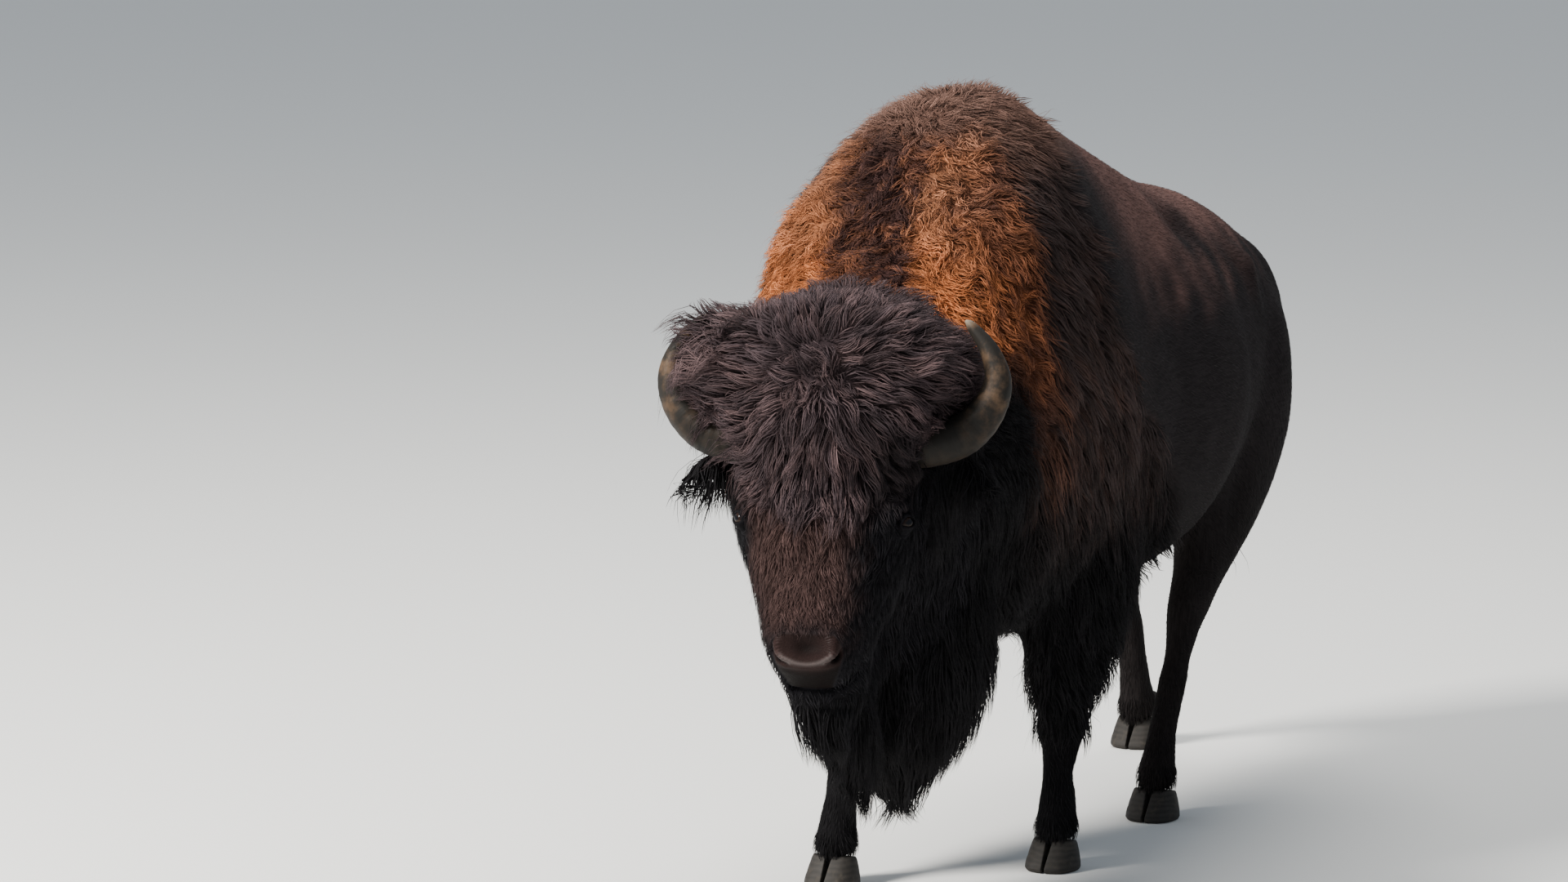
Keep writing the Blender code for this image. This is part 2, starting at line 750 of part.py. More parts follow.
def clear_scene():
    for obj in list(bpy.data.objects):
        bpy.data.objects.remove(obj)


def shade(obj):
    obj.data.shade_smooth()
    obj.data.set_sharp_from_angle(angle=math.radians(50))


def stand_on_origin(pieces):
    """Moves the pieces so that the origin is on the floor under the middle of their box."""
    corners = [vertex.co for piece in pieces for vertex in piece.data.vertices]
    middle_x = (min(c.x for c in corners) + max(c.x for c in corners)) / 2
    middle_y = (min(c.y for c in corners) + max(c.y for c in corners)) / 2
    for mesh in {piece.data for piece in pieces}:
        mesh.transform(Matrix.Translation((-middle_x, -middle_y, 0)))


def main():
    clear_scene()
    bison = collection("bison")
    cutters = collection("cutters")
    body = whole_body(cutters)
    body.hide_render = True
    body.display_type = "WIRE"
    made = []
    for side, name in ((1, "left"), (-1, "right")):
        for maker, kind in ((horn, "horn"), (ear, "ear"), (eye, "eye")):
            made.append(maker(f"{kind}_{name}", side, bison))
            cut(body, maker(f"{kind}_{name}_socket", side, cutters, SOCKET_GAP), "DIFFERENCE")
        cut(body, orbit(f"orbit_{name}", side, cutters), "DIFFERENCE")
    cut(body, tail_dock("tail_socket", cutters, SOCKET_GAP), "DIFFERENCE")
    cut(body, block("floor_clearance", cutters, (-2, -2, -1), (2, 2, SOLE_TOP)), "DIFFERENCE")
    made += [tail_dock("tail_dock", bison), tail_tuft("tail_tuft", bison)]
    made += part_body(body, bison, cutters)
    for foot, place in FEET.items():
        made.append(claw(f"claw_{foot}_inner", place, -1, bison))
        made.append(claw(f"claw_{foot}_outer", place, 1, bison))
    for cutter in cutters.objects:
        cutter.hide_render = True
        cutter.display_type = "WIRE"
    stand_on_origin(made)
    for piece in made:
        piece.data.materials.clear()
        piece.data.materials.append(material(piece.name, finish_of(piece.name)))
        shade(piece)


main()
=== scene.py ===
"""The looks of a life-size plains bison bull: skin, coat, horns, eyes and claws.

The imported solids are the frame. One skin replaces the nodes of flesh and lies inside them by the
depth of the coat. Over it lies the coat, as closed locks of hair that follow the lie of the hair.

While things are being made the bull stands with the top of its hump over X = Y = 0, as it does in
the part's source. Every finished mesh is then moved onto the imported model's origin.
"""

import itertools
import math

import bmesh
import bpy
import numpy as np
from mathutils import Matrix, Vector
from mathutils.bvhtree import BVHTree
from mathutils.kdtree import KDTree


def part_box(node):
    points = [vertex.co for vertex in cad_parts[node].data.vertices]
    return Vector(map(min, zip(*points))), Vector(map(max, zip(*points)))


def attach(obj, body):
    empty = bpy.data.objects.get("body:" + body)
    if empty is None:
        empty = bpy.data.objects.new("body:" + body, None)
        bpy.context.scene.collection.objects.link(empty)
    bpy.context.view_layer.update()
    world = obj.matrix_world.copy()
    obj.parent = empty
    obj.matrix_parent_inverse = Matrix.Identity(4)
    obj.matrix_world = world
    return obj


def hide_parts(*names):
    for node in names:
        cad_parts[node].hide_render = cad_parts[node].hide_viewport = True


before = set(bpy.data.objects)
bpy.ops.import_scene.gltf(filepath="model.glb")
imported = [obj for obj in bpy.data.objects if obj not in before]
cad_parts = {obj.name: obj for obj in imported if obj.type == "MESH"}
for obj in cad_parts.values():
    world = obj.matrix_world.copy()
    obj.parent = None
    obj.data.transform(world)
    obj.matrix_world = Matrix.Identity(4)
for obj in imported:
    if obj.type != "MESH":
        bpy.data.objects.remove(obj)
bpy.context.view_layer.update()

# ---------------------------------------------------------------- places on the animal

HORN_LINE = Vector((0.083, -0.85, 1.105))  # the middle between the two horn bases
HEAD_TURN = math.radians(12.5)
HEAD_DROP = math.radians(52)
HEAD_ROLL = math.radians(0.8)
EYE_SEAT = (0.172, 0.171, -0.028)  # across, along the face, out of the face
EYE_RADIUS = 0.0215
GAZE = (0.76, 0.14, 0.56)  # the same three ways
EYE_OPENING = (0.0185, 0.0125, 0.0105)  # half its width, and its height above and below the middle
SIDES = (("left", 1), ("right", -1))
WHORL = (-0.012, -0.047, 0.251)  # where the wool of the crown parts
PAD_MIDDLE = 0.477  # of the bare nose pad, along the face
PAD_HALF_WIDTH = 0.073
PAD_HALF_LENGTH = 0.034

# Y of the rear edge of the long shoulder hair, and of the golden cape, by height.
SHOULDER_EDGE = ((0.55, 0.56), (0.78, 0.52), (0.92, 0.35), (1.11, 0.115), (1.31, -0.035),
                 (1.52, -0.015), (1.67, 0.06), (1.80, 0.14))
CAPE_EDGE = ((0.95, -0.31), (1.09, -0.30), (1.27, -0.295), (1.42, -0.263), (1.56, -0.218),
             (1.69, -0.139), (1.80, -0.06))

FEET = ("fore_left", "fore_right", "hind_left", "hind_right")
CLAWS = [f"claw_{foot}_{part}" for foot in FEET for part in ("inner", "outer")]
APART = CLAWS + [f"{kind}_{name}" for kind in ("horn", "eye") for name, _ in SIDES]
FLESH = sorted(set(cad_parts) - set(APART))


def head_frame():
    """Takes (across, along the face, out of the face) to the bull's frame."""
    turn = Matrix.Rotation(HEAD_TURN, 3, "Z")
    forward = turn @ Vector((0, -1, 0))
    left = turn @ Vector((1, 0, 0))
    up = Vector((0, 0, 1))
    along = forward * math.cos(HEAD_DROP) - up * math.sin(HEAD_DROP)
    out = forward * math.sin(HEAD_DROP) + up * math.cos(HEAD_DROP)
    roll = Matrix.Rotation(-HEAD_ROLL, 3, -along)
    left, out = roll @ left, roll @ out
    return Matrix((left, along, out)).transposed()


HEAD_AXES = head_frame()
AXES = np.array(HEAD_AXES)


def on_head(across, along, out):
    return HORN_LINE + HEAD_AXES @ Vector((across, along, out))


def to_head(points):
    return (points - np.array(HORN_LINE)) @ AXES


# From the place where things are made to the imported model's origin.
EYE_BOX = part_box("eye_left")
TO_ORIGIN = (EYE_BOX[0] + EYE_BOX[1]) / 2 - on_head(*EYE_SEAT)
EYE_SEATS = {side: np.array(on_head(side * EYE_SEAT[0], *EYE_SEAT[1:])) for _, side in SIDES}


# ---------------------------------------------------------------- numbers


def fade(value, start, end):
    """A smooth step from 0 at start to 1 at end, either way round."""
    share = np.clip((value - start) / (end - start), 0.0, 1.0)
    return share * share * (3 - 2 * share)


def mix(first, second, share):
    """Between two rows of three, or two for every point, by a share for every point."""
    share = np.asarray(share)[:, None]
    return np.multiply(first, 1 - share) + np.multiply(second, share)


def unit(vectors):
    return vectors / np.maximum(np.linalg.norm(vectors, axis=-1, keepdims=True), 1e-9)


def ripple(points, size, seed):
    """Smooth patches between about -1 and 1, of the given size in metres."""
    rng = np.random.default_rng(seed)
    total = np.zeros(len(points))
    for _ in range(7):
        direction = unit(rng.normal(size=3)) / size * rng.uniform(0.7, 1.6)
        total += np.sin(points @ direction * 2 * math.pi + rng.uniform(0, 2 * math.pi))
    return total / 2.6


def swirl(points, size, seed):
    """Smooth random directions."""
    return np.stack([ripple(points, size, seed + i) for i in range(3)], 1)


def swell(value, middle, width):
    """A smooth hump: 1 in the middle and next to nothing from two widths away."""
    return np.exp(-(((value - middle) / width) ** 2))


def ways(*parts):
    """Directions from three parts, each of them one number or a number for every point."""
    return np.stack(np.broadcast_arrays(*parts), -1)


def line_at(line, spots):
    """A line given by a few points, read at spots along its first number."""
    return np.interp(spots, *zip(*line))


def inside(points, centre, radii, soft=0.25):
    """1 inside an ellipsoid, 0 well outside it."""
    reach = np.linalg.norm((points - np.array(centre)) / np.array(radii), axis=1)
    return fade(reach, 1 + soft, 1.0)


# ---------------------------------------------------------------- regions of the coat


def from_eyes(points):
    """The distance to the nearer eye."""
    return np.min([np.linalg.norm(points - seat, axis=1) for seat in EYE_SEATS.values()], axis=0)


def pad_reach(across, along):
    """0 in the middle of the bare nose pad, 1 at its rim."""
    return np.sqrt((across / PAD_HALF_WIDTH) ** 2 + ((along - PAD_MIDDLE) / PAD_HALF_LENGTH) ** 2)


def pad_rim(r):
    """1 on the wet lower rim of the nose pad, by the regions of the points."""
    ring = swell(pad_reach(r["across"], r["along"]), 0.92, 0.085)
    return ring * fade(r["along"], 0.480, 0.498) * fade(r["out"], -0.056, -0.040)


def nostrils(points):
    """1 in the nostrils, 0 outside them."""
    head = to_head(points)
    head = np.c_[np.abs(head[:, 0]), head[:, 1:]]
    return inside(head, (0.063, 0.488, -0.046), (0.013, 0.011, 0.008), 1.0)


# The masses of wool on the crown: centre and radii across, along and out of the face.
CROWN_MASSES = (
    ((0.000, -0.135, 0.070), (0.315, 0.215, 0.190)),
    ((0.000, 0.020, 0.062), (0.245, 0.160, 0.098)),
    ((0.215, -0.165, 0.000), (0.125, 0.150, 0.125)),
    ((-0.240, -0.190, 0.010), (0.132, 0.160, 0.130)),
)


def regions(points):
    """How much each point belongs to each region, by name."""
    x, y, z = points.T
    head = to_head(points)
    a, b, c = head.T
    in_head = fade(b, -0.16, -0.08) * fade(c, -0.42, -0.36) * fade(y, -0.55, -0.62)
    crown = np.max([inside(head, *mass) for mass in CROWN_MASSES], axis=0)
    crown = crown * fade(c, -0.06, 0.01) * fade(y, -0.56, -0.64)
    beard = fade(y, -0.66, -0.72) * fade(z, 0.62, 0.55)
    fore = fade(y - line_at(SHOULDER_EDGE, z) - 0.022 * ripple(points, 0.11, 5), 0.035, -0.035)
    leg = fade(z, 0.86, 0.72) * fade(np.abs(x), 0.06, 0.10)
    chaps = leg * fade(y, -0.42, -0.34) * fade(y, 0.52, 0.46) * fade(z, 0.29, 0.36)
    chaps = chaps * np.where(x > 0, fade(y, -0.02, 0.02), fade(y, 0.26, 0.22))
    mane = fade(y, -0.22, -0.34) * fade(z, 1.02, 0.88) * (1 - in_head) * (1 - beard)
    cape = fade(y - line_at(CAPE_EDGE, z), 0.02, -0.02) * fade(z, 0.98, 1.10)
    cape = cape * (1 - crown) * (1 - in_head)
    shin = fade(z, 0.36, 0.30) * fade(y, -0.50, -0.40)
    tail = fade(y, 1.575, 1.60) * fade(z, 0.86, 0.80) * fade(np.abs(x), 0.12, 0.09)
    ear = fade(np.abs(a), 0.190, 0.215) * fade(b, -0.09, -0.07) * fade(b, 0.13, 0.10)
    ear = ear * fade(c, -0.175, -0.155) * fade(c, -0.055, -0.072)
    fringe = fade(np.abs(a), 0.205, 0.230) * fade(b, 0.07, 0.05)
    fringe = fringe * fade(b + 0.12 * (a < 0), -0.15, -0.12)
    fringe = fringe * fade(c, -0.175, -0.155) * fade(c, 0.012, -0.008)
    pad = fade(pad_reach(a, b), 1.16, 0.98) * fade(c, -0.075, -0.055) * fade(b, 0.444, 0.458)
    lip = fade(np.abs(a) + 0.40 * np.maximum(-0.055 - c, 0), 0.084, 0.070) * fade(b, 0.470, 0.482)
    lip = lip * fade(c, -0.138, -0.128) * fade(c, -0.01, -0.03)
    off_middle = np.abs(x + 0.010 * ripple(points, 0.05, 8))
    ridge = fade(off_middle + 0.055 * fade(y, 0.20, 0.74), 0.062, 0.045)
    ridge = ridge * fade(y, -0.05, 0.05) * fade(y, 0.74, 0.68) * fade(z, 1.44, 1.48)
    return {
        "head": in_head, "crown": crown, "beard": beard, "fore": fore, "chaps": chaps, "mane": mane,
        "cape": cape, "shin": shin, "tail": tail, "ear": ear, "fringe": fringe, "ridge": ridge,
        "bare": np.maximum(pad, lip), "across": a, "along": b, "out": c,
    }


def coat_depth(points):
    """How far the skin lies inside the solids, in metres."""
    r = regions(points)
    depth = 0.005 + 0.021 * r["fore"]
    for name, own in (("mane", 0.034), ("chaps", 0.030), ("shin", -0.003)):
        depth += (own - depth) * r[name]
    depth -= 0.006 * fade(points[:, 2], 0.135, 0.085)
    depth += (0.012 - depth) * r["head"]
    depth += 0.010 * r["head"] * fade(r["out"], -0.10, -0.20)
    for name, own in (("crown", 0.046), ("beard", 0.030), ("ear", 0.009), ("tail", 0.014)):
        depth += (own - depth) * r[name]
    depth += (0.003 - depth) * fade(r["along"], 0.36, 0.43) * fade(r["out"], -0.24, -0.20) * r["head"]
    return depth + (0.002 - depth) * fade(from_eyes(points), 0.075, 0.035)


def lie_of_hair(points):
    """The direction the hair grows in, before it is laid along the skin."""
    x, y, z = points.T
    r = regions(points)
    across, along, out = r["across"], r["along"], r["out"]
    side = np.tanh(x / 0.06)
    haunch = fade(y, 0.90, 1.25) * fade(z, 1.42, 1.10)
    lie = mix(ways(0, 1, -0.38), ways(0, 0.45, -1), haunch)
    lie = mix(lie, ways(0.25 * side, 0.50, -1), r["fore"])
    down = ways(0.04 * side, 0.08, -1)
    lie = mix(lie, down, np.maximum(r["mane"], r["shin"]))
    lie = mix(lie, ways(0.10 * side, 0.34, -1), r["chaps"])
    lie = mix(lie, down, r["tail"])
    bridge = ways(1.6 * across, 1, -0.10) @ AXES.T
    cheek = ways(0.05 * side, 0.22, -1)
    lie = mix(lie, mix(cheek, bridge, fade(out, -0.13, -0.03)), r["head"])
    arm = ways(across, along, out) - np.array(WHORL)
    eddy = swirl(points, 0.07, 31) @ AXES.T
    share = 0.25 + 0.7 * fade(np.linalg.norm(arm, axis=1), 0.12, 0.02)
    radial = unit(unit(arm) @ AXES.T + eddy * share[:, None])
    right = fade(across, -0.10, -0.20) * fade(along, -0.24, -0.16)
    beyond = ways(-1, 0.10, 0.95 - 0.65 * fade(along, -0.17, -0.07)) @ AXES.T
    lie = mix(lie, mix(radial, unit(beyond), 0.85 * right), r["crown"])
    ear = ways(0.14 * np.sign(across), 0.06, 0) @ AXES.T
    lie = mix(lie, unit(ear + ways(0, 0, -1)), np.maximum(r["ear"], r["fringe"]))
    lie = mix(lie, down, r["beard"])
    eddies = 0.05 + 0.17 * r["fore"] + 0.28 * r["cape"] + 0.06 * r["head"]
    return unit(lie + swirl(points, 0.09, 41) * eddies[:, None])


# ---------------------------------------------------------------- markings and painted light

# Red, green and blue, as the materials take them.
BLACK = (0.0120, 0.0112, 0.0124)
CROWN_WOOL = (0.055, 0.0390, 0.0425)
CROWN_LIGHT = (0.190, 0.120, 0.118)
FACE_ROSE = (0.078, 0.046, 0.042)
CHEEK_BLACK = (0.0145, 0.0135, 0.0160)
CAPE_TAN = (0.490, 0.200, 0.100)
CAPE_ORANGE = (0.690, 0.225, 0.078)
STRIPE = (0.058, 0.029, 0.026)
# HUMP_BROWN: partly the coat's own colour, partly painted light on the top of the hump.
HUMP_BROWN = (0.185, 0.102, 0.078)
SHOULDER_BROWN = (0.056, 0.0390, 0.0370)
RUST = (0.120, 0.054, 0.036)
FLANK_BROWN = (0.0200, 0.0165, 0.0172)
# LOIN_BROWN: partly the coat's own colour, partly painted light on the top of the back.
LOIN_BROWN = (0.135, 0.074, 0.064)
LEG_BLACK = (0.0150, 0.0125, 0.0125)
MUZZLE_BARE = (0.026, 0.0150, 0.0138)

# X of the dark stripe down the middle of the cape, by Y.
STRIPE_LINE = ((-0.66, 0.079), (-0.50, 0.020), (-0.395, -0.025), (-0.33, -0.040), (-0.16, -0.021))


def markings_and_painted_light(points):
    """The colour of skin and coat at each point: the markings, and the painted light and shade that are
    marked below.
    """
    x, y, z = points.T
    r = regions(points)
    patch = ripple(points, 0.16, 1)
    fine = ripple(points, 0.045, 2)
    # Reddish brown over the loin: partly the coat's own colour, partly painted light on the top of the
    # back.
    loin = fade(z + 0.03 * patch, 1.20, 1.42) * fade(y, 0.10, 0.5) * fade(y, 1.56, 1.20)
    # Darker in the hip hollow: painted shade.
    hollow = inside(np.c_[np.abs(x), y, z], (0.24, 0.78, 1.39), (0.04, 0.06, 0.04), 2.2)
    tone = mix(FLANK_BROWN, LOIN_BROWN, np.clip(loin * (0.90 + 0.12 * patch) - 0.55 * hollow, 0, 1))
    tone = mix(tone, LEG_BLACK, fade(z, 0.95, 0.6))
    shoulder = mix(SHOULDER_BROWN, RUST, np.clip(0.06 + 0.14 * patch + 0.16 * fine, 0, 0.5))
    tone = mix(tone, mix(shoulder, BLACK, fade(z, 1.10, 0.70)), r["fore"])
    # Lighter brown over the top of the hump: partly the coat's own colour, partly painted light.
    tone = mix(tone, HUMP_BROWN, fade(z, 1.58, 1.72) * fade(y, 0.75, 0.35))
    gold = mix(CAPE_TAN, CAPE_ORANGE, np.clip(fade(z, 1.62, 1.36) + 0.25 * patch, 0, 1))
    gold = gold * (1 + 0.22 * ripple(points, 0.07, 6) + 0.16 * ripple(points, 0.03, 7))[:, None]
    # Darker on the right side, which faces the key lamp: painted shade that takes back some of the lamp's
    # light.
    gold = gold * (1 - 0.22 * fade(x, 0.0, -0.15))[:, None]
    # Towards the rear edge on the left side, away from the key lamp, the gold turns dark: painted shade.
    rear = fade(y - line_at(CAPE_EDGE, z), -0.22, -0.05) * fade(x, 0.08, 0.18)
    gold = mix(gold, STRIPE, np.clip(0.70 * rear + 0.12 * fine, 0, 0.85))
    off_middle = np.abs(x - line_at(STRIPE_LINE, y))
    gold = mix(gold, STRIPE, np.clip(fade(off_middle, 0.135, 0.070) + 0.24 * fine - 0.10, 0, 1))
    sides = np.clip(fade(np.abs(x - 0.02), 0.30, 0.24) + fade(y, -0.44, -0.34), 0, 1)
    golden = np.clip(r["cape"] * fade(z, 1.735, 1.64) * sides, 0, 1) * fade(z, 1.08, 1.24)
    tone = mix(tone, gold, golden)
    strip = fade(np.abs(y + 0.31), 0.075, 0.03) * fade(z, 0.86, 1.0) * fade(z, 1.30, 1.15)
    strip = strip * fade(np.abs(x), 0.2, 0.3)
    tone = mix(tone, RUST, np.clip(strip * (0.5 + 0.3 * fine), 0, 1))
    tone = mix(tone, BLACK, fade(y, -0.34, -0.42) * fade(z, 1.30, 1.16))
    tone = mix(tone, BLACK, np.maximum(r["mane"], r["chaps"]) * 0.9)
    # Over the left side of the face the rose turns black: painted shade on the side away from the key
    # lamp. Towards the cheeks, round the eyes and near the pad it turns black as the coat's own colour.
    bridge = fade(r["out"], -0.11, 0.0) * fade(r["across"] + 0.012 * fine, 0.125, 0.035)
    bridge = bridge * fade(from_eyes(points), 0.035, 0.07) * fade(r["along"] + 0.010 * fine, 0.490, 0.400)
    tone = mix(tone, mix(CHEEK_BLACK, FACE_ROSE, bridge), r["head"])
    wool = mix(CROWN_WOOL, CROWN_LIGHT, np.clip(0.14 + 0.26 * fine + 0.14 * patch, 0, 0.6))
    tone = mix(tone, wool, r["crown"])
    # Black over the left brow: a painted shadow.
    brow = fade(r["across"], 0.04, 0.12) * fade(r["along"], -0.03, 0.05) * r["crown"]
    tone = mix(tone, BLACK, 0.8 * brow)
    tone = mix(tone, BLACK, r["beard"])
    reach = pad_reach(r["across"], r["along"])
    lip = fade(r["out"], -0.046, -0.070) * fade(reach, 0.9, 1.2)
    # Darker in the middle of the nose pad: painted shade in its hollow. Darker on the lip below the pad:
    # partly its own dark skin, partly painted shade under the pad.
    shade = 0.85 - 0.70 * swell(reach, 0, 0.62) - 0.72 * lip
    # Darker again over the left side of the lip: painted shade on the side away from the key lamp. Lighter
    # along the wet lower rim: a painted highlight.
    shade = shade * (1 - 0.5 * fade(r["across"], 0.030, 0.075) * lip) + 0.75 * pad_rim(r)
    # Darker over the upper part of the pad: painted shade in its hollow.
    shade = shade * (1 - 0.45 * fade(r["along"], 0.474, 0.448))
    # Nearly black in the nostrils: painted shade in their pits.
    shade = shade * (1 - 0.9 * nostrils(points))
    tone = mix(tone, np.multiply(MUZZLE_BARE, shade[:, None]), r["bare"] ** 2)
    return mix(tone, BLACK, np.maximum(r["ear"], r["fringe"]))


# ---------------------------------------------------------------- objects


def deselect():
    for obj in list(bpy.context.selected_objects):
        obj.select_set(False)


def activate(obj):
    deselect()
    obj.select_set(True)
    bpy.context.view_layer.objects.active = obj


def apply_modifier(obj, kind, **settings):
    activate(obj)
    step = obj.modifiers.new(kind.lower(), kind)
    for name, value in settings.items():
        setattr(step, name, value)
    bpy.ops.object.modifier_apply(modifier=step.name)


def new_object(name, data):
    obj = bpy.data.objects.new(name, data)
    bpy.context.scene.collection.objects.link(obj)
    return obj


def object_of(name, mesh):
    """A new object with the shape that was put together in mesh."""
    data = bpy.data.meshes.new(name)
    mesh.to_mesh(data)
    mesh.free()
    return new_object(name, data)


def copy_of_nodes(name, nodes):
    """One object with the merged meshes of CAD nodes, moved to where things are made."""
    mesh = bmesh.new()
    for node in nodes:
        part = bmesh.new()
        part.from_mesh(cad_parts[node].data)
        bmesh.ops.remove_doubles(part, verts=part.verts, dist=1e-5)
        data = bpy.data.meshes.new("part")
        part.to_mesh(data)
        part.free()
        mesh.from_mesh(data)
        bpy.data.meshes.remove(data)
    bmesh.ops.translate(mesh, verts=mesh.verts, vec=-TO_ORIGIN)
    return object_of(name, mesh)


def read(rows, what, width, kind=float):
    """One property of all the points, edges or triangles of a mesh."""
    values = np.empty(len(rows) * width, dtype=kind)
    rows.foreach_get(what, values)
    return values.reshape(-1, width)


def points_of(obj):
    return read(obj.data.vertices, "co", 3)


def normals_of(obj):
    return read(obj.data.vertices, "normal", 3)


def place_points(obj, points):
    obj.data.vertices.foreach_set("co", np.ascontiguousarray(points, dtype=np.float32).ravel())
    obj.data.update()


def finish_piece(obj, material, slot, *nodes):
    """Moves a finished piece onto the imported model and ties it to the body."""
    obj.data.materials.append(material)
    obj.data.shade_smooth()
    obj.data.transform(Matrix.Translation(TO_ORIGIN))
    obj.data.update()
    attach(obj, "root")
    if nodes:
        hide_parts(*nodes)


def give_attribute(obj, name, kind, values):
    layer = obj.data.attributes.new(name, kind, "POINT")
    key = {"FLOAT": "value", "FLOAT_VECTOR": "vector", "FLOAT_COLOR": "color"}[kind]
    layer.data.foreach_set(key, np.ascontiguousarray(values, dtype=np.float32).ravel())


def give_tint(obj, colours):
    give_attribute(obj, "tint", "FLOAT_COLOR", np.c_[colours, np.ones(len(colours))])


# ---------------------------------------------------------------- skin

SKIN_VOXEL = 0.0160
SKIN_STEPS = 6
HAIRY = ("crown", "fore", "mane", "chaps", "beard", "head")


def soften(points, neighbours, counts, share):
    """Moves each point some way to the middle of its neighbours."""
    total = np.zeros_like(points)
    np.add.at(total, neighbours[:, 0], points[neighbours[:, 1]])
    np.add.at(total, neighbours[:, 1], points[neighbours[:, 0]])
    return points + (total / counts[:, None] - points) * np.asarray(share).reshape(-1, 1)


def shrink_to_skin(obj):
    """Takes the surface in by the depth of the coat, in small steps."""
    edges = read(obj.data.edges, "vertices", 2, np.int64)
    counts = np.bincount(edges.ravel(), minlength=len(obj.data.vertices)).clip(1)
    points = points_of(obj)
    depth = coat_depth(points)
    for _ in range(SKIN_STEPS):
        place_points(obj, points)
        points = points - normals_of(obj) * (depth / SKIN_STEPS)[:, None]
        points = soften(points, edges, counts, 0.35)
    _, along, out = to_head(points).T
    rim = fade(along, 0.00, 0.06) * fade(along, 0.24, 0.17) * fade(out, -0.06, 0.0)
    rim = rim * fade(from_eyes(points), 0.03, 0.06)
    _, y, z = points.T
    rump = fade(y, 1.20, 1.32) * fade(z, 0.70, 0.86) * fade(y, 1.60, 1.50)
    for _ in range(30):
        points = soften(points, edges, counts, 0.6 * np.maximum(rim, rump))
    place_points(obj, points)


def subdivide_where(obj, chosen):
    """Splits the faces whose corners are all chosen."""
    activate(obj)
    mesh = bmesh.new()
    mesh.from_mesh(obj.data)
    mesh.verts.ensure_lookup_table()
    faces = [face for face in mesh.faces if all(chosen[v.index] for v in face.verts)]
    edges = list({edge for face in faces for edge in face.edges})
    bmesh.ops.subdivide_edges(mesh, edges=edges, cuts=1, use_grid_fill=True, smooth=0.6)
    mesh.to_mesh(obj.data)
    mesh.free()
    obj.data.update()


# Pits and swellings of the skin on both sides of the head: centre and radii across, along and out
# of the face; height.
HEAD_FORMS = (
    ((0.062, 0.462, -0.014), (0.015, 0.020, 0.018), 0.006),
    ((0.076, 0.476, -0.044), (0.011, 0.017, 0.011), -0.015),
    ((0.064, 0.492, -0.046), (0.014, 0.012, 0.009), -0.018),
    ((0.048, 0.504, -0.048), (0.011, 0.009, 0.006), -0.007),
    ((0.105, 0.300, -0.120), (0.030, 0.060, 0.040), -0.005),
    ((0.128, 0.240, -0.075), (0.024, 0.070, 0.020), 0.005),
    ((0.100, 0.360, -0.030), (0.020, 0.060, 0.030), -0.004),
)
# The same on the trunk: centre and radii in the bull's frame; height. Mirrored to both sides.
BODY_FORMS = (
    ((0.245, 0.770, 1.400), (0.060, 0.075, 0.060), -0.022),
    ((0.300, 1.080, 1.270), (0.050, 0.035, 0.110), 0.014),
    ((0.215, 0.930, 1.430), (0.040, 0.110, 0.040), 0.008),
    ((0.330, 0.900, 1.000), (0.080, 0.060, 0.260), -0.008),
    ((0.300, 1.020, 0.760), (0.070, 0.030, 0.130), -0.010),
    ((0.330, 1.190, 1.020), (0.080, 0.090, 0.200), 0.010),
    ((0.150, 1.500, 0.980), (0.060, 0.060, 0.180), 0.006),
    ((0.190, 1.020, 0.480), (0.030, 0.040, 0.060), -0.004),
    ((0.330, 0.620, 1.180), (0.120, 0.200, 0.160), 0.006),
)


def raise_forms(points, normals, place, forms):
    lift = np.zeros(len(points))
    for centre, radii, height in forms:
        reach = ((place - np.array(centre)) / np.array(radii)) ** 2
        lift += height * np.exp(-reach.sum(1))
    return points + normals * lift[:, None]


def shape_muzzle(points, normals):
    """The hollow nose pad with its wrinkled rim, the upper lip and the line of the mouth."""
    across, along, out = to_head(points).T
    reach = pad_reach(across, along)
    front = fade(out, -0.060, -0.045) * fade(along, 0.40, 0.43)
    turn = np.arctan2((along - PAD_MIDDLE) / PAD_HALF_LENGTH, across / PAD_HALF_WIDTH)
    wings = fade(np.abs(across), 0.030, 0.060)
    low = fade(along, 0.462, 0.490)
    wrinkles = np.sin(38 * turn + 2 * np.sin(5 * turn))
    lift = -0.0115 * swell(reach, 0, 0.60)
    lift += (0.0013 * low + 0.0022 * wings * low) * swell(reach, 0.95, 0.20)
    lift += 0.0008 * wrinkles * wings * swell(reach, 0.80, 0.22)
    lift = lift * front
    under = fade(out, -0.052, -0.062) * fade(along, 0.44, 0.47)
    lift -= 0.0014 * under * swell(out, -0.064, 0.012)
    mouth = -0.130 - 0.022 * (across / 0.075) ** 2 - 0.10 * np.maximum(0.49 - along, 0)
    lift -= 0.0085 * swell(out, mouth, 0.0045) * fade(along, 0.385, 0.42)
    lift += 0.0030 * swell(out - mouth, -0.014, 0.010) * fade(along, 0.43, 0.47)
    return points + normals * lift[:, None]


def mirrored(forms):
    return [((side * c[0], *c[1:]), radii, height) for c, radii, height in forms for side in (1, -1)]


def eye_axes(side):
    """The gaze, the way to the outer corner of the lids and the way to the upper lid."""
    gaze = AXES @ unit(np.array((side * GAZE[0], *GAZE[1:])))
    outer = AXES @ np.array((side, -0.40, 0.0))
    outer = unit(outer - gaze * (outer @ gaze))
    upper = np.cross(gaze, outer)
    return gaze, outer, upper * np.sign(upper[2])


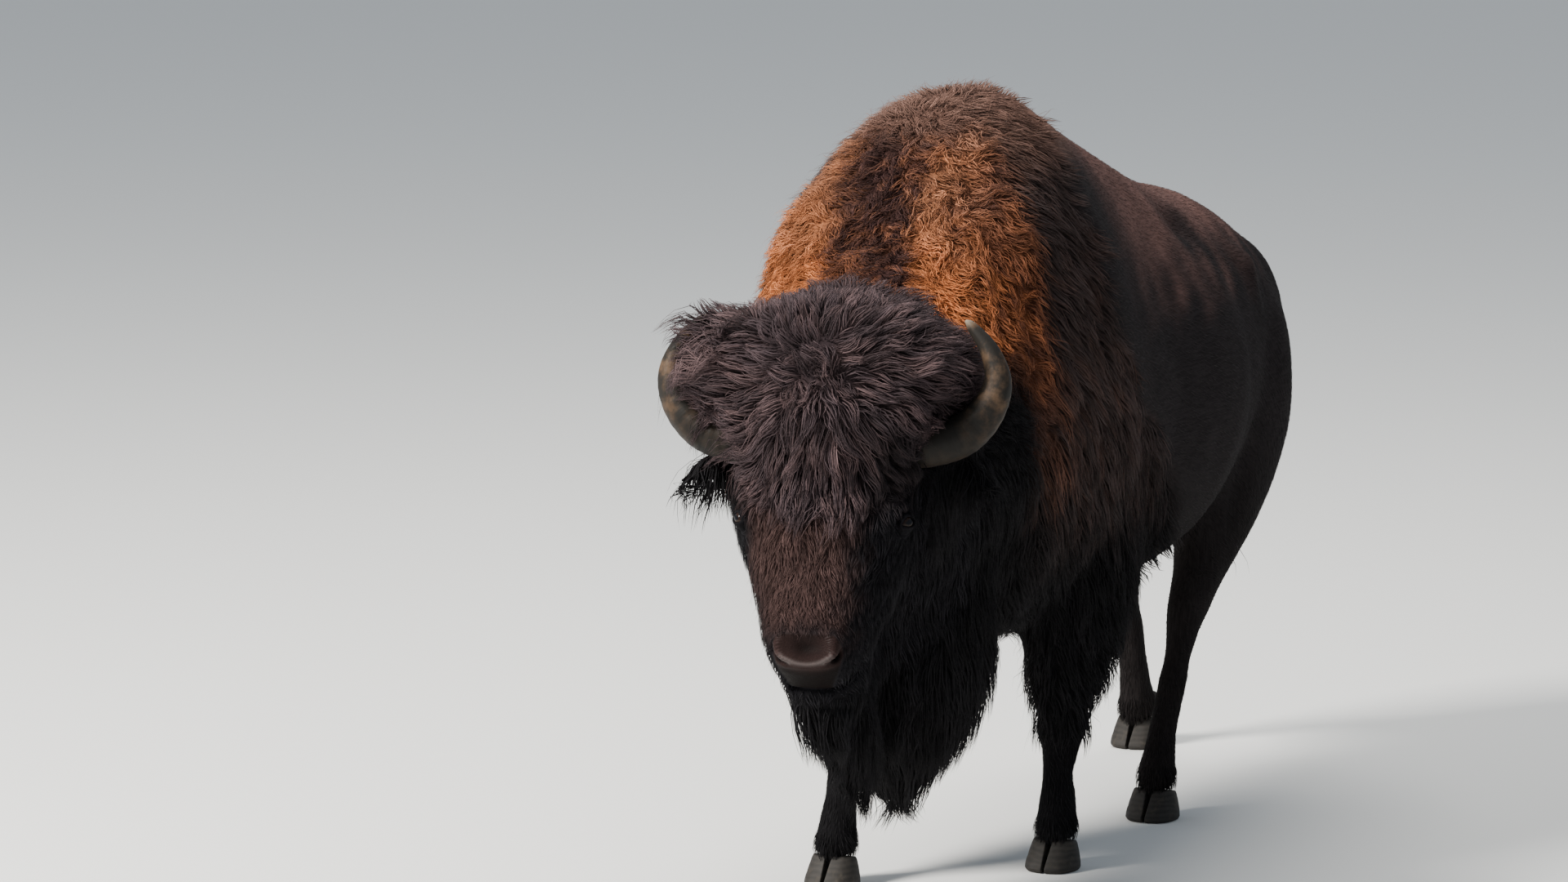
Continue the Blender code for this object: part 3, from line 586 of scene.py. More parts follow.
def set_lids(points):
    """Draws the skin over each eyeball and leaves an almond open between two lids."""
    for side, centre in EYE_SEATS.items():
        gaze, outer, upper = eye_axes(side)
        arm = points - centre
        deep, wide, high = arm @ gaze, arm @ outer, arm @ upper
        near = (deep > -0.012) & (np.linalg.norm(arm, axis=1) < 0.062)
        height = np.where(high > 0, *EYE_OPENING[1:])
        reach = (np.abs(wide / EYE_OPENING[0]) ** 1.6 + np.abs(high / height) ** 1.6) ** (1 / 1.6)
        across = np.sqrt(wide**2 + high**2)
        margin = 0.0026 * swell(reach, 1.22, 0.20)
        crease = 0.0020 * swell(reach, 1.75, 0.14) * (high > 0)
        cap = EYE_RADIUS + 0.0028 + margin - crease
        on_ball = np.sqrt(np.maximum(cap**2 - across**2, 1e-6))
        lid = fade(across, 0.042, 0.0235) * near
        target = on_ball - 0.010 * fade(reach, 1.0, 0.80)
        points = points + gaze * ((target - deep) * lid)[:, None]
    return points


def skin_piece():
    skin = copy_of_nodes("skin", FLESH)
    apply_modifier(skin, "REMESH", mode="VOXEL", voxel_size=SKIN_VOXEL)
    shrink_to_skin(skin)
    points = points_of(skin)
    points = raise_forms(points, normals_of(skin), points, mirrored(BODY_FORMS))
    place_points(skin, points)
    for radius, muzzle, jaw in ((0.085, 0.36, -0.23), (0.060, 0.40, -0.20), (0.045, 0.43, -0.175)):
        points = points_of(skin)
        _, along, out = to_head(points).T
        subdivide_where(skin, (along > muzzle) & (out > jaw) | (from_eyes(points) < radius))
    points = points_of(skin)
    points = raise_forms(points, normals_of(skin), to_head(points), mirrored(HEAD_FORMS))
    place_points(skin, points)
    place_points(skin, set_lids(shape_muzzle(points, normals_of(skin))))
    activate(skin)
    bpy.ops.object.mode_set(mode="EDIT")
    bpy.ops.mesh.select_all(action="SELECT")
    bpy.ops.uv.smart_project(angle_limit=math.radians(66), island_margin=0.002)
    bpy.ops.object.mode_set(mode="OBJECT")
    skin.data.uv_layers.active.name = "OFBake"
    points = points_of(skin)
    r = regions(points)
    hairy = np.max([r[name] for name in HAIRY], axis=0)
    # Darker where long hair covers the skin: painted shade under the coat.
    give_tint(skin, markings_and_painted_light(points) * (1 - 0.45 * hairy * (1 - r["bare"]))[:, None])
    give_attribute(skin, "bare", "FLOAT", r["bare"])
    wet = r["bare"] * np.clip(pad_rim(r) + 0.02, 0, 1) * fade(np.abs(r["across"]), 0.066, 0.052)
    give_attribute(skin, "wet", "FLOAT", wet * (1 - nostrils(points)))
    give_attribute(skin, "upright", "FLOAT", np.clip(r["head"] + fade(points[:, 2], 0.95, 0.7), 0, 1))
    return skin


# ---------------------------------------------------------------- locks of hair

FIRST_SEED = 11
TRIES = 2.6  # roots tried for each one that has room
LEAST_GAP = 0.86  # of the spacing
ROOT_DEPTH = 0.003
THICKNESS = {True: 0.22, False: 0.34}  # of the width, for flat locks and for the others
PATCH = 0.0015  # half the width of a lock's patch in the unwrap


class Skin:
    """The skin as numbers: where hair may root, and the nearest point of it to any place."""

    def __init__(self, obj):
        data = obj.data
        data.calc_loop_triangles()
        self.corners = read(data.loop_triangles, "vertices", 3, np.int64)
        self.points = points_of(obj)
        self.normals = normals_of(obj)
        self.uv = read(data.uv_layers["OFBake"].uv, "vector", 2)
        self.uv = self.uv[read(data.loop_triangles, "loops", 3, np.int64)]
        first, second, third = (self.points[self.corners[:, i]] for i in range(3))
        self.areas = np.linalg.norm(np.cross(second - first, third - first), axis=1) / 2
        self.middles = (first + second + third) / 3
        self.tree = BVHTree.FromPolygons(self.points.tolist(), self.corners.tolist())

    def scatter(self, chance, spacing, seed):
        """Roots about evenly apart on the triangles whose chance is above zero."""
        rng = np.random.default_rng(seed)
        weights = self.areas * chance
        wanted = int(weights.sum() / spacing**2 * TRIES)
        picks = rng.choice(len(weights), size=wanted, p=weights / weights.sum())
        shares = rng.dirichlet((1, 1, 1), size=wanted)
        corner = self.corners[picks]
        places = (self.points[corner] * shares[:, :, None]).sum(1)
        kept = thin_out(places, spacing * LEAST_GAP)
        picks, shares, corner, places = picks[kept], shares[kept], corner[kept], places[kept]
        normals = unit((self.normals[corner] * shares[:, :, None]).sum(1))
        uv = (self.uv[picks] * shares[:, :, None]).sum(1)
        return places, normals, uv

    def nearest(self, places):
        found = [self.tree.find_nearest(place) for place in places.tolist()]
        return np.array([spot[0] for spot in found]), np.array([spot[1] for spot in found])


def thin_out(places, apart):
    """Indices of places kept so that no two are nearer than apart."""
    cells = {}
    kept = []
    steps = list(itertools.product((-1, 0, 1), repeat=3))
    keys = np.floor(places / apart).astype(int).tolist()
    for index, ((a, b, c), (x, y, z)) in enumerate(zip(keys, places.tolist())):
        near = (spot for i, j, k in steps for spot in cells.get((a + i, b + j, c + k), ()))
        if all((x - p) ** 2 + (y - q) ** 2 + (z - r) ** 2 >= apart * apart for p, q, r in near):
            cells.setdefault((a, b, c), []).append((x, y, z))
            kept.append(index)
    return np.array(kept, dtype=int)


def nearest_guides(roots, apart):
    """For each root the index of the lock that leads its clump."""
    leaders = thin_out(roots, apart)
    tree = KDTree(len(leaders))
    for index, leader in enumerate(leaders):
        tree.insert(roots[leader], index)
    tree.balance()
    return np.array([leaders[tree.find(root)[1]] for root in roots.tolist()])


def at_places(value, places):
    """A style's value at each place, where it is one number or a function of the places."""
    return value(places) if callable(value) else np.full(len(places), value)


def comb_locks(skin, roots, normals, kind, style, rng):
    """The middle line of each lock, from its root to its tip, and how light the lock is."""
    rings = style["rings"]
    count = len(roots)
    length = at_places(style["length"], roots) * rng.uniform(0.72, 1.2, count)
    lift = style["lift"] * rng.uniform(0.55, 1.3, count)
    stray = rng.normal(scale=style["stray"], size=(count, 3))
    droop = at_places(style["droop"], roots)
    path = [roots - normals * ROOT_DEPTH]
    place, normal = roots, normals
    for step in range(1, rings + 1):
        share = (step - 0.5) / rings
        lie = lie_of_hair(place) + stray
        lie = unit(lie - normal * (lie * normal).sum(1)[:, None])
        angle = (lift * (1 - style["settle"] * share))[:, None]
        way = lie * np.cos(angle) + normal * np.sin(angle)
        way[:, 2] -= droop * share
        place = place + unit(way) * (length / rings)[:, None]
        if kind not in LOOSE:
            spots, skin_normals = skin.nearest(place)
            height = ((place - spots) * skin_normals).sum(1)
            close = np.linalg.norm(place - spots, axis=1) < 0.06
            if kind in FLAT:
                push = 0.0009 + 0.001 * share - height
            else:
                push = np.maximum(0.0025 + 0.006 * share - height, 0)
            place = place + skin_normals * (push * close)[:, None]
            normal = unit(normal + 0.4 * skin_normals * close[:, None])
        path.append(place)
    path = np.stack(path, 1)
    shares = np.linspace(0, 1, rings + 1)
    guide, tone = np.arange(count), np.ones(count)
    if style["clump"]:
        guide = nearest_guides(roots, style["apart"])
        pull = style["clump"] * shares**1.4
        meet = path[guide] + 0.22 * (roots - roots[guide])[:, None]
        path = path + (meet - path) * pull[None, :, None]
    if style["wave"]:
        ahead = unit(path[:, -1] - path[:, 0])
        beside = unit(np.cross(ahead, normals))
        above = np.cross(beside, ahead)
        phase = rng.uniform(0, 2 * math.pi, count)
        phase = 0.75 * phase[guide] + 0.25 * phase
        turns = length / style["wavelength"] * rng.uniform(0.8, 1.25, count)
        angle = phase[:, None] + 2 * math.pi * turns[:, None] * shares
        swing = style["wave"] * rng.uniform(0.5, 1.3, count)[:, None] * np.sin(shares * math.pi * 0.62)
        path = path + beside[:, None] * (swing * np.sin(angle))[:, :, None]
        path = path + above[:, None] * (swing * 0.7 * np.cos(angle) * style["coil"])[:, :, None]
    if style["clump"]:
        tone = rng.uniform(0.66, 1.34, count)[guide]
    return path, tone


CORNER_TURNS = np.arange(3) * 2 * math.pi / 3 + math.pi / 2


def lock_faces(rings):
    """The triangles of one lock: its sides, its tip and its root."""
    faces = []
    for ring in range(rings - 1):
        for index in range(3):
            a, b = ring * 3 + index, ring * 3 + (index + 1) % 3
            faces += [(b + 3, b, a), (a + 3, b + 3, a)]
    last = (rings - 1) * 3
    faces += [(last + 3, last + (index + 1) % 3, last + index) for index in range(3)]
    return np.array(faces + [(0, 1, 2)])


def lock_mesh(name, rng, thick, path, normals, uv, width, tints):
    """Closed three-sided locks along their middle lines, as one mesh."""
    count, rings = path.shape[0], path.shape[1] - 1
    shares = np.linspace(0, 1, rings + 1)
    ahead = unit(np.gradient(path, axis=1))
    beside = unit(np.cross(ahead, normals[:, None]))
    above = np.cross(beside, ahead)
    twist = rng.normal(scale=0.45, size=(count, 1))
    size = width[:, None] * np.interp(shares, (0, 0.25, 0.5, 0.75, 1), (0.90, 1.0, 0.76, 0.42, 0.0))
    corners = []
    for turn in CORNER_TURNS:
        wide = (np.cos(turn + twist) * size)[:, :, None]
        high = (thick * np.sin(turn + twist) * size)[:, :, None]
        corners.append((path + (beside * wide + above * high))[:, :rings])
    body = np.stack(corners, 2).reshape(count, rings * 3, 3)
    points = np.concatenate((body, path[:, -1:]), 1).reshape(-1, 3)
    per_lock = rings * 3 + 1
    starts = (np.arange(count) * per_lock)[:, None, None]
    triangles = (lock_faces(rings) + starts).reshape(-1, 3)
    data = bpy.data.meshes.new(name)
    data.vertices.add(len(points))
    data.vertices.foreach_set("co", points.astype(np.float32).ravel())
    data.loops.add(len(triangles) * 3)
    data.loops.foreach_set("vertex_index", triangles.astype(np.int32).ravel())
    data.polygons.add(len(triangles))
    data.polygons.foreach_set("loop_start", np.arange(0, len(triangles) * 3, 3, dtype=np.int32))
    data.update(calc_edges=True)
    obj = new_object(name, data)
    rand = rng.uniform(0, 1, (count, 2))
    along = np.append(np.repeat(shares[:rings], 3), 1.0)
    around = np.append(np.tile(CORNER_TURNS, rings), CORNER_TURNS[0])
    stretch = np.linalg.norm(np.diff(path, axis=1), axis=2).sum(1)
    strand = (rand[:, :1] * 53 + np.cos(around) * 0.9, rand[:, 1:] * 47 + np.sin(around) * 0.9,
              stretch[:, None] * 9.0 * along)
    give_tint(obj, np.repeat(tints * rng.uniform(0.84, 1.16, (count, 1)), per_lock, axis=0))
    give_attribute(obj, "strand", "FLOAT_VECTOR", np.stack(strand, 2))
    give_attribute(obj, "tip", "FLOAT", np.tile(along, count))
    spread = np.stack((np.cos(around) * (1 - along), np.sin(around) * (1 - along)), 1) * PATCH
    spread[:, 1] += (along - 0.5) * PATCH
    corner_uv = (uv[:, None] + spread[None]).reshape(-1, 2)[triangles.ravel()]
    data.uv_layers.new(name="OFBake").uv.foreach_set("vector", corner_uv.astype(np.float32).ravel())
    return obj


def by_height(least, more, start, end):
    """A length that grows by so much from one height to another."""
    return lambda places: least + more * fade(places[:, 2], start, end)


def crown_length(places):
    r = regions(places)
    forelock = fade(r["along"], -0.04, 0.06) * fade(np.abs(r["across"]), 0.19, 0.08)
    left = fade(r["across"], 0.03, 0.14)
    right = fade(r["across"], -0.12, -0.21) * fade(r["along"], -0.27, -0.19)
    brow = fade(r["across"], 0.05, 0.12) * fade(r["along"], -0.01, 0.06)
    length = (0.060 + 0.045 * forelock + 0.030 * left + 0.082 * right) * (1 - 0.45 * brow)
    return length * (0.30 + 0.70 * fade(from_eyes(places), 0.06, 0.14))


def face_length(places):
    along = to_head(places)[:, 1]
    short = 0.36 + 0.64 * fade(from_eyes(places), 0.03, 0.075)
    return (0.064 - 0.034 * fade(along, 0.06, 0.36) - 0.016 * fade(along, 0.36, 0.43)) * short


def cheek_length(places):
    head = to_head(places)
    short = fade(head[:, 1], 0.36, 0.44) * fade(head[:, 2], -0.22, -0.17)
    return 0.062 * (0.32 + 0.68 * fade(from_eyes(places), 0.03, 0.09)) * (1 - 0.68 * short)


def ridge_length(places):
    return 0.040 - 0.026 * fade(places[:, 1], 0.30, 0.66)


def fuzz_length(places):
    r = regions(places)
    near_eyes = 0.3 + 0.7 * fade(from_eyes(places), 0.04, 0.12)
    return (0.068 - 0.036 * r["head"] * (1 - r["crown"])) * near_eyes


def crown_droop(places):
    return 0.10 + 0.45 * fade(to_head(places)[:, 1], -0.04, 0.08)


# Metres and radians. In each row: the gap between roots, a lock's length and half width, the steps
# along it, how it stands off the skin and settles again, how far it strays from the lie, how it
# hangs, how strongly and how far apart locks draw together, and the height, length and roundness of
# its waves.
COLUMNS = ("spacing", "length", "width", "rings", "lift", "settle", "stray", "droop", "clump", "apart",
           "wave", "wavelength", "coil")
STYLES = {
    "crown": (0.0056, crown_length, 0.0016, 4, 1.05, 0.95, 0.10, crown_droop, 0.84, 0.024,
              0.0026, 0.085, 0.8),
    "ears": (0.0060, 0.125, 0.0017, 4, 0.34, 0.90, 0.22, 1.25, 0.50, 0.018, 0.0020, 0.070, 0.5),
    "face": (0.0056, face_length, 0.0013, 3, 0.42, 0.95, 0.10, 0.05, 0.72, 0.018, 0.0010, 0.035, 0.5),
    "cheeks": (0.0076, cheek_length, 0.0018, 4, 0.36, 0.95, 0.10, 0.15, 0.55, 0.026, 0.0018, 0.060, 0.5),
    "beard": (0.0061, 0.130, 0.0019, 4, 0.30, 1.00, 0.10, 0.50, 0.60, 0.035, 0.0050, 0.090, 0.6),
    "mane": (0.0079, by_height(0.09, 0.07, 0.9, 0.5), 0.0021, 4, 0.34, 1.00, 0.08, 0.35, 0.60, 0.042,
             0.0045, 0.090, 0.6),
    "cape": (0.0058, 0.048, 0.0014, 4, 0.95, 1.00, 0.16, 0.10, 0.80, 0.018, 0.0042, 0.038, 1.0),
    "shoulder": (0.0080, by_height(0.070, 0.05, 1.4, 0.9), 0.0020, 3, 0.46, 1.00, 0.09, 0.12, 0.62, 0.034,
                 0.0040, 0.120, 0.7),
    "chaps": (0.0094, by_height(0.075, 0.035, 0.5, 0.7), 0.0021, 4, 0.46, 0.90, 0.12, 0.25, 0.60, 0.036,
              0.0040, 0.080, 0.6),
    "ridge": (0.0066, ridge_length, 0.0014, 2, 0.75, 0.70, 0.16, 0.00, 0.40, 0.020, 0.0, 0.0, 0.0),
    "flank": (0.0128, 0.046, 0.0014, 2, 0.07, 1.40, 0.05, 0.00, 0.00, 0.000, 0.0, 0.0, 0.0),
    "shins": (0.0075, 0.026, 0.0014, 2, 0.10, 1.20, 0.06, 0.00, 0.00, 0.000, 0.0, 0.0, 0.0),
    "coronet": (0.0048, 0.034, 0.0014, 2, 0.34, 0.80, 0.08, 0.55, 0.40, 0.016, 0.0, 0.0, 0.0),
    "tail": (0.0052, 0.130, 0.0018, 4, 0.16, 1.00, 0.06, 0.40, 0.40, 0.020, 0.0040, 0.080, 0.5),
    "fuzz": (0.0165, fuzz_length, 0.0007, 3, 0.80, 0.80, 0.30, 0.15, 0.00, 0.000, 0.0040, 0.050, 1.0),
}
FLAT = ("flank", "shins")  # these keep close to the skin
LOOSE = ("beard", "ridge", "coronet", "tail")  # these hang or stand free of it
FUZZY = ("crown", "cape", "shoulder", "mane", "face", "cheeks", "chaps", "beard")
SPLIT = ("crown", "cape", "shoulder", "flank", "mane")  # these are two pieces, left and right
SLOTS = {
    "crown": "coat_crown", "ears": "ear_hair", "face": "coat_head", "cheeks": "coat_head",
    "beard": "coat_beard", "mane": "coat_neck", "cape": "coat_cape", "shoulder": "coat_cape",
    "chaps": "coat_upper_legs", "ridge": "coat_flank", "flank": "coat_flank",
    "shins": "coat_lower_legs", "coronet": "coat_lower_legs", "tail": "tail_hair", "fuzz": "coat_cape",
}


def style_of_places(places):
    """The name of the style that grows at each place."""
    r = regions(places)
    names = np.full(len(places), "flank", dtype=object)
    for region, style in (("fore", "shoulder"), ("cape", "cape"), ("mane", "mane"), ("chaps", "chaps"),
                          ("shin", "shins")):
        names[r[region] > 0.5] = style
    names[(r["ridge"] > 0.5) & (r["fore"] < 0.9)] = "ridge"
    names[r["head"] > 0.5] = "cheeks"
    names[(r["head"] > 0.5) & (r["out"] > -0.10)] = "face"
    names[r["crown"] > 0.5] = "crown"
    names[np.maximum(r["ear"], r["fringe"]) > 0.5] = "ears"
    names[r["beard"] > 0.5] = "beard"
    names[r["tail"] > 0.5] = "tail"
    names[r["bare"] > 0.3] = "none"
    names[(places[:, 2] < 0.128) & (r["shin"] > 0.5)] = "coronet"
    names[places[:, 2] < 0.075] = "none"
    names[from_eyes(places) < 0.029] = "none"
    return names


def coat_pieces(skin_object, material):
    """The coat, style by style, each over the part of the skin where it grows."""
    skin = Skin(skin_object)
    names = style_of_places(skin.middles)
    for seed, (kind, row) in enumerate(STYLES.items(), start=FIRST_SEED):
        style = dict(zip(COLUMNS, row))
        rng = np.random.default_rng(seed)
        own = np.isin(names, FUZZY) if kind == "fuzz" else names == kind
        roots, normals, uv = skin.scatter(own.astype(float), style["spacing"], seed)
        path, tone = comb_locks(skin, roots, normals, kind, style, rng)
        width = style["width"] * rng.uniform(0.7, 1.3, len(roots))
        tints = markings_and_painted_light(roots) * tone[:, None] * (1.3 if kind == "ridge" else 1.0)
        groups = {"": np.ones(len(roots), bool)}
        if kind in SPLIT:
            groups = {"_left": roots[:, 0] > 0.0, "_right": roots[:, 0] <= 0.0}
        for suffix, own in groups.items():
            rows = (values[own] for values in (path, normals, uv, width, tints))
            obj = lock_mesh(f"coat_{kind}{suffix}", rng, THICKNESS[kind in FLAT], *rows)
            finish_piece(obj, material, SLOTS[kind])


# ---------------------------------------------------------------- horns, eyes, claws


def catmull_rom(keys, places):
    """Rows on a smooth curve through the keys, at places from 0 to 1."""
    keys = np.array(keys)
    rows = np.vstack((2 * keys[0] - keys[1], keys, 2 * keys[-1] - keys[-2]))
    spot = places * (len(keys) - 1)
    first = np.minimum(spot.astype(int), len(keys) - 2)
    t = (spot - first)[:, None]
    a, b, c, d = (rows[first + i] for i in range(4))
    bend = (2 * a - 5 * b + 4 * c - d) * t**2 + (3 * b - a - 3 * c + d) * t**3
    return 0.5 * (2 * b + (c - a) * t + bend)


HORN_KEYS = (
    # across, along the face, out of the face, radius
    (0.135, -0.008, -0.010, 0.050),
    (0.215, -0.012, -0.006, 0.049),
    (0.285, -0.030, 0.006, 0.045),
    (0.336, -0.076, 0.030, 0.038),
    (0.356, -0.132, 0.058, 0.030),
    (0.338, -0.188, 0.086, 0.021),
    (0.298, -0.234, 0.110, 0.012),
    (0.282, -0.247, 0.116, 0.003),
)


HORN_SAMPLES = 60


def horn_piece(node, side, material):
    """A grid rolled up along the horn's curve, with the growth rings near its base."""
    deselect()
    bpy.ops.mesh.primitive_grid_add(x_subdivisions=32, y_subdivisions=110, size=2.0)
    obj = bpy.context.object
    obj.name = node + "_sheath"
    grid = points_of(obj)
    around, along = (grid[:, 0] + 1) * math.pi, (grid[:, 1] + 1) / 2
    rows = catmull_rom(HORN_KEYS, along)
    centres = rows[:, :3] * (side, 1, 1)
    further = catmull_rom(HORN_KEYS, np.minimum(along + 0.01, 1))
    nearer = catmull_rom(HORN_KEYS, along - 0.01 * (along > 0.01))
    ahead = unit((further - nearer)[:, :3] * (side, 1, 1))
    beside = unit(np.cross(ahead, (0.1, 0.2, 1.0)))
    above = np.cross(beside, ahead)
    growth = 0.0004 * np.sin(along * 150 + 2 * np.sin(along * 23)) * fade(along, 0.75, 0.35)
    flutes = 0.0005 * np.sin(around * 9 + 3 * np.sin(along * 7)) * fade(along, 0.95, 0.6)
    radius = rows[:, 3] + (growth + flutes) * fade(along, 1.0, 0.9)
    wide = beside * (np.cos(around) * radius)[:, None]
    high = above * (np.sin(around) * radius)[:, None]
    place_points(obj, np.array(HORN_LINE) + (centres + wide + high) @ AXES.T)
    mesh = bmesh.new()
    mesh.from_mesh(obj.data)
    bmesh.ops.remove_doubles(mesh, verts=mesh.verts, dist=2e-5)
    bmesh.ops.holes_fill(mesh, edges=[e for e in mesh.edges if e.is_boundary], sides=0)
    bmesh.ops.recalc_face_normals(mesh, faces=mesh.faces)
    mesh.to_mesh(obj.data)
    mesh.free()
    tree = KDTree(HORN_SAMPLES)
    samples = np.linspace(0, 1, HORN_SAMPLES)
    for index, row in enumerate(catmull_rom(HORN_KEYS, samples)):
        tree.insert((side * row[0], row[1], row[2]), index)
    tree.balance()
    share = [samples[tree.find(place)[1]] for place in to_head(points_of(obj)).tolist()]
    give_attribute(obj, "along", "FLOAT", share)
    finish_piece(obj, material, "horn_keratin", node)


def eye_piece(node, side, material):
    """An eyeball with a bulging cornea and a level pupil."""
    deselect()
    bpy.ops.mesh.primitive_uv_sphere_add(segments=96, ring_count=64, radius=1.0)
    obj = bpy.context.object
    obj.name = node + "_ball"
    ball = points_of(obj)
    gaze, outer, upper = eye_axes(side)
    radius = EYE_RADIUS * (1 + 0.07 * fade(ball[:, 2], 0.72, 1.0))
    turn = np.stack((np.cross(upper, gaze), upper, gaze), 1)
    place_points(obj, EYE_SEATS[side] + (ball * radius[:, None]) @ turn.T)
    slot = np.sqrt((ball[:, 0] / 0.46) ** 2 + (ball[:, 1] / 0.24) ** 2)
    give_attribute(obj, "front", "FLOAT", ball[:, 2])
    give_attribute(obj, "pupil", "FLOAT", fade(slot, 1.1, 0.9) * (ball[:, 2] > 0))
    finish_piece(obj, material, "eye_wet", node)


def claw_piece(node, material):
    """The solid claw, drawn in to the coronet and out to the toe, with its edges rounded."""
    obj = copy_of_nodes(node + "_horn", [node])
    rounding = dict(width=0.004, segments=2, limit_method="ANGLE", angle_limit=math.radians(50))
    apply_modifier(obj, "BEVEL", **rounding)
    apply_modifier(obj, "SUBSURF", levels=2, render_levels=2)
    points = points_of(obj)
    low, high = points.min(0), points.max(0)
    middle, size = (low + high) / 2, high - low
    rise = (points[:, 2] - low[2]) / size[2]
    front = (middle[1] - points[:, 1]) / size[1]
    points[:, 0] += (middle[0] - points[:, 0]) * 0.16 * rise
    points[:, 1] += (middle[1] - points[:, 1]) * 0.10 * rise
    points[:, 1] += 0.016 * rise * np.maximum(front, 0) * 2 - 0.004 * (1 - rise) * (front > 0.2)
    points[:, 2] -= 0.012 * rise * np.maximum(-front, 0) * 2
    place_points(obj, points)
    finish_piece(obj, material, "claw_keratin", node)


DEWCLAW_RADII = (0.013, 0.016, 0.022)
DEWCLAW_OUT = 0.024  # from the middle of the foot
DEWCLAW_IN = 0.014  # from the heel
DEWCLAW_HEIGHT = 0.108


def dewclaw_piece(foot, material):
    """The two small claws behind a pastern."""
    boxes = [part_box(f"claw_{foot}_{part}") for part in ("inner", "outer")]
    low, high = (np.array([box[end] - TO_ORIGIN for box in boxes]) for end in (0, 1))
    middle = (low[:, 0].min() + high[:, 0].max()) / 2
    heel = high[:, 1].max()
    mesh = bmesh.new()
    for side in (1, -1):
        turn = Matrix.Rotation(math.radians(35), 4, "X") @ Matrix.Rotation(math.radians(12 * side), 4, "Z")
        place = Matrix.Translation((middle + side * DEWCLAW_OUT, heel - DEWCLAW_IN, DEWCLAW_HEIGHT))
        shape = place @ turn @ Matrix.Diagonal((*DEWCLAW_RADII, 1))
        bmesh.ops.create_uvsphere(mesh, u_segments=20, v_segments=12, radius=1.0, matrix=shape)
    finish_piece(object_of("dewclaws_" + foot, mesh), material, "claw_keratin")


# ---------------------------------------------------------------- materials

HORN_BLACK = (0.017, 0.015, 0.013, 1)
HORN_BROWN = (0.090, 0.056, 0.034, 1)
HORN_SCRATCH = (0.020, 0.017, 0.014, 1)
HORN_TIP = (0.230, 0.190, 0.140, 1)
HORN_BASE = (0.010, 0.009, 0.008, 1)
IRIS_DARK = (0.007, 0.004, 0.003, 1)
IRIS_BROWN = (0.020, 0.009, 0.005, 1)
EYE_WHITE = (0.014, 0.008, 0.006, 1)  # as dark as the rest of the eye
PUPIL = (0.003, 0.003, 0.004, 1)
CLAW_BLACK = (0.018, 0.016, 0.014, 1)
CLAW_GREY = (0.040, 0.034, 0.030, 1)
DRY_EARTH = (0.060, 0.050, 0.038, 1)


class Value:
    """A socket in a material's nodes, with the usual operators on numbers."""

    def __init__(self, tree, socket):
        self.tree = tree
        self.socket = socket

    def node(self, kind, values=(), output=0, **settings):
        """Adds a node, sets it up, then sets or links its sockets."""
        made = self.tree.nodes.new(kind)
        for name, value in settings.items():
            setattr(made, name, value)
        for key, value in dict(values).items():
            if isinstance(value, Value):
                self.tree.links.new(value.socket, made.inputs[key])
            else:
                made.inputs[key].default_value = value
        return Value(self.tree, made.outputs[output])

    def math(self, operation, first, second=0.0):
        return self.node("ShaderNodeMath", {0: first, 1: second}, operation=operation)

    def __add__(self, other):
        return self.math("ADD", self, other)

    __radd__ = __add__

    def __mul__(self, other):
        return self.math("MULTIPLY", self, other)

    __rmul__ = __mul__

    def __sub__(self, other):
        return self.math("SUBTRACT", self, other)

    def __rsub__(self, other):
        return self.math("SUBTRACT", other, self)

    def __pow__(self, other):
        return self.math("POWER", self, other)

    def ramp(self, low, high):
        """0 below low, 1 above high, smooth between."""
        limits = {0: self, 1: low, 2: high}
        return self.node("ShaderNodeMapRange", limits, interpolation_type="SMOOTHSTEP")


def new_material(name, fixed):
    """A material, its main shader with the sockets that stay the same, and a value to start from."""
    made = bpy.data.materials.new(name)
    made.use_nodes = True
    shader = made.node_tree.nodes["Principled BSDF"]
    for socket, value in fixed.items():
        shader.inputs[socket].default_value = value
    return made, shader, Value(made.node_tree, None)


def feed(shader, values):
    """Links the main shader's sockets that vary over the surface."""
    for socket, value in values.items():
        value.tree.links.new(value.socket, shader.inputs[socket])


def attribute(start, name, output="Fac"):
    return start.node("ShaderNodeAttribute", output=output, attribute_name=name)


def object_places(start):
    return start.node("ShaderNodeTexCoord", output="Object")


def noise(vector, scale, detail, roughness=0.5):
    sockets = {"Vector": vector, "Scale": scale, "Detail": detail, "Roughness": roughness}
    return vector.node("ShaderNodeTexNoise", sockets)


def waves(vector, scale, distortion, detail, direction):
    sockets = {"Vector": vector, "Scale": scale, "Distortion": distortion, "Detail": detail}
    return vector.node("ShaderNodeTexWave", sockets, bands_direction=direction)


def stretched(vector, scale, lean=0.0):
    """Places for a pattern drawn out along the hair, leant about X."""
    return vector.node("ShaderNodeMapping", {"Vector": vector, "Rotation": (lean, 0, 0), "Scale": scale})


def bump(height, strength, distance=0.0012):
    return height.node("ShaderNodeBump", {"Height": height, "Strength": strength, "Distance": distance})


def blend(share, first, second):
    """Between two colours: the Mix node's sockets 6 and 7 take them, and its output 2 gives one."""
    return share.node("ShaderNodeMix", {0: share, 6: first, 7: second}, output=2, data_type="RGBA")


def scaled(colour, amount):
    """A colour made lighter or darker by a number."""
    return colour.node("ShaderNodeVectorMath", {0: colour, "Scale": amount}, operation="SCALE")


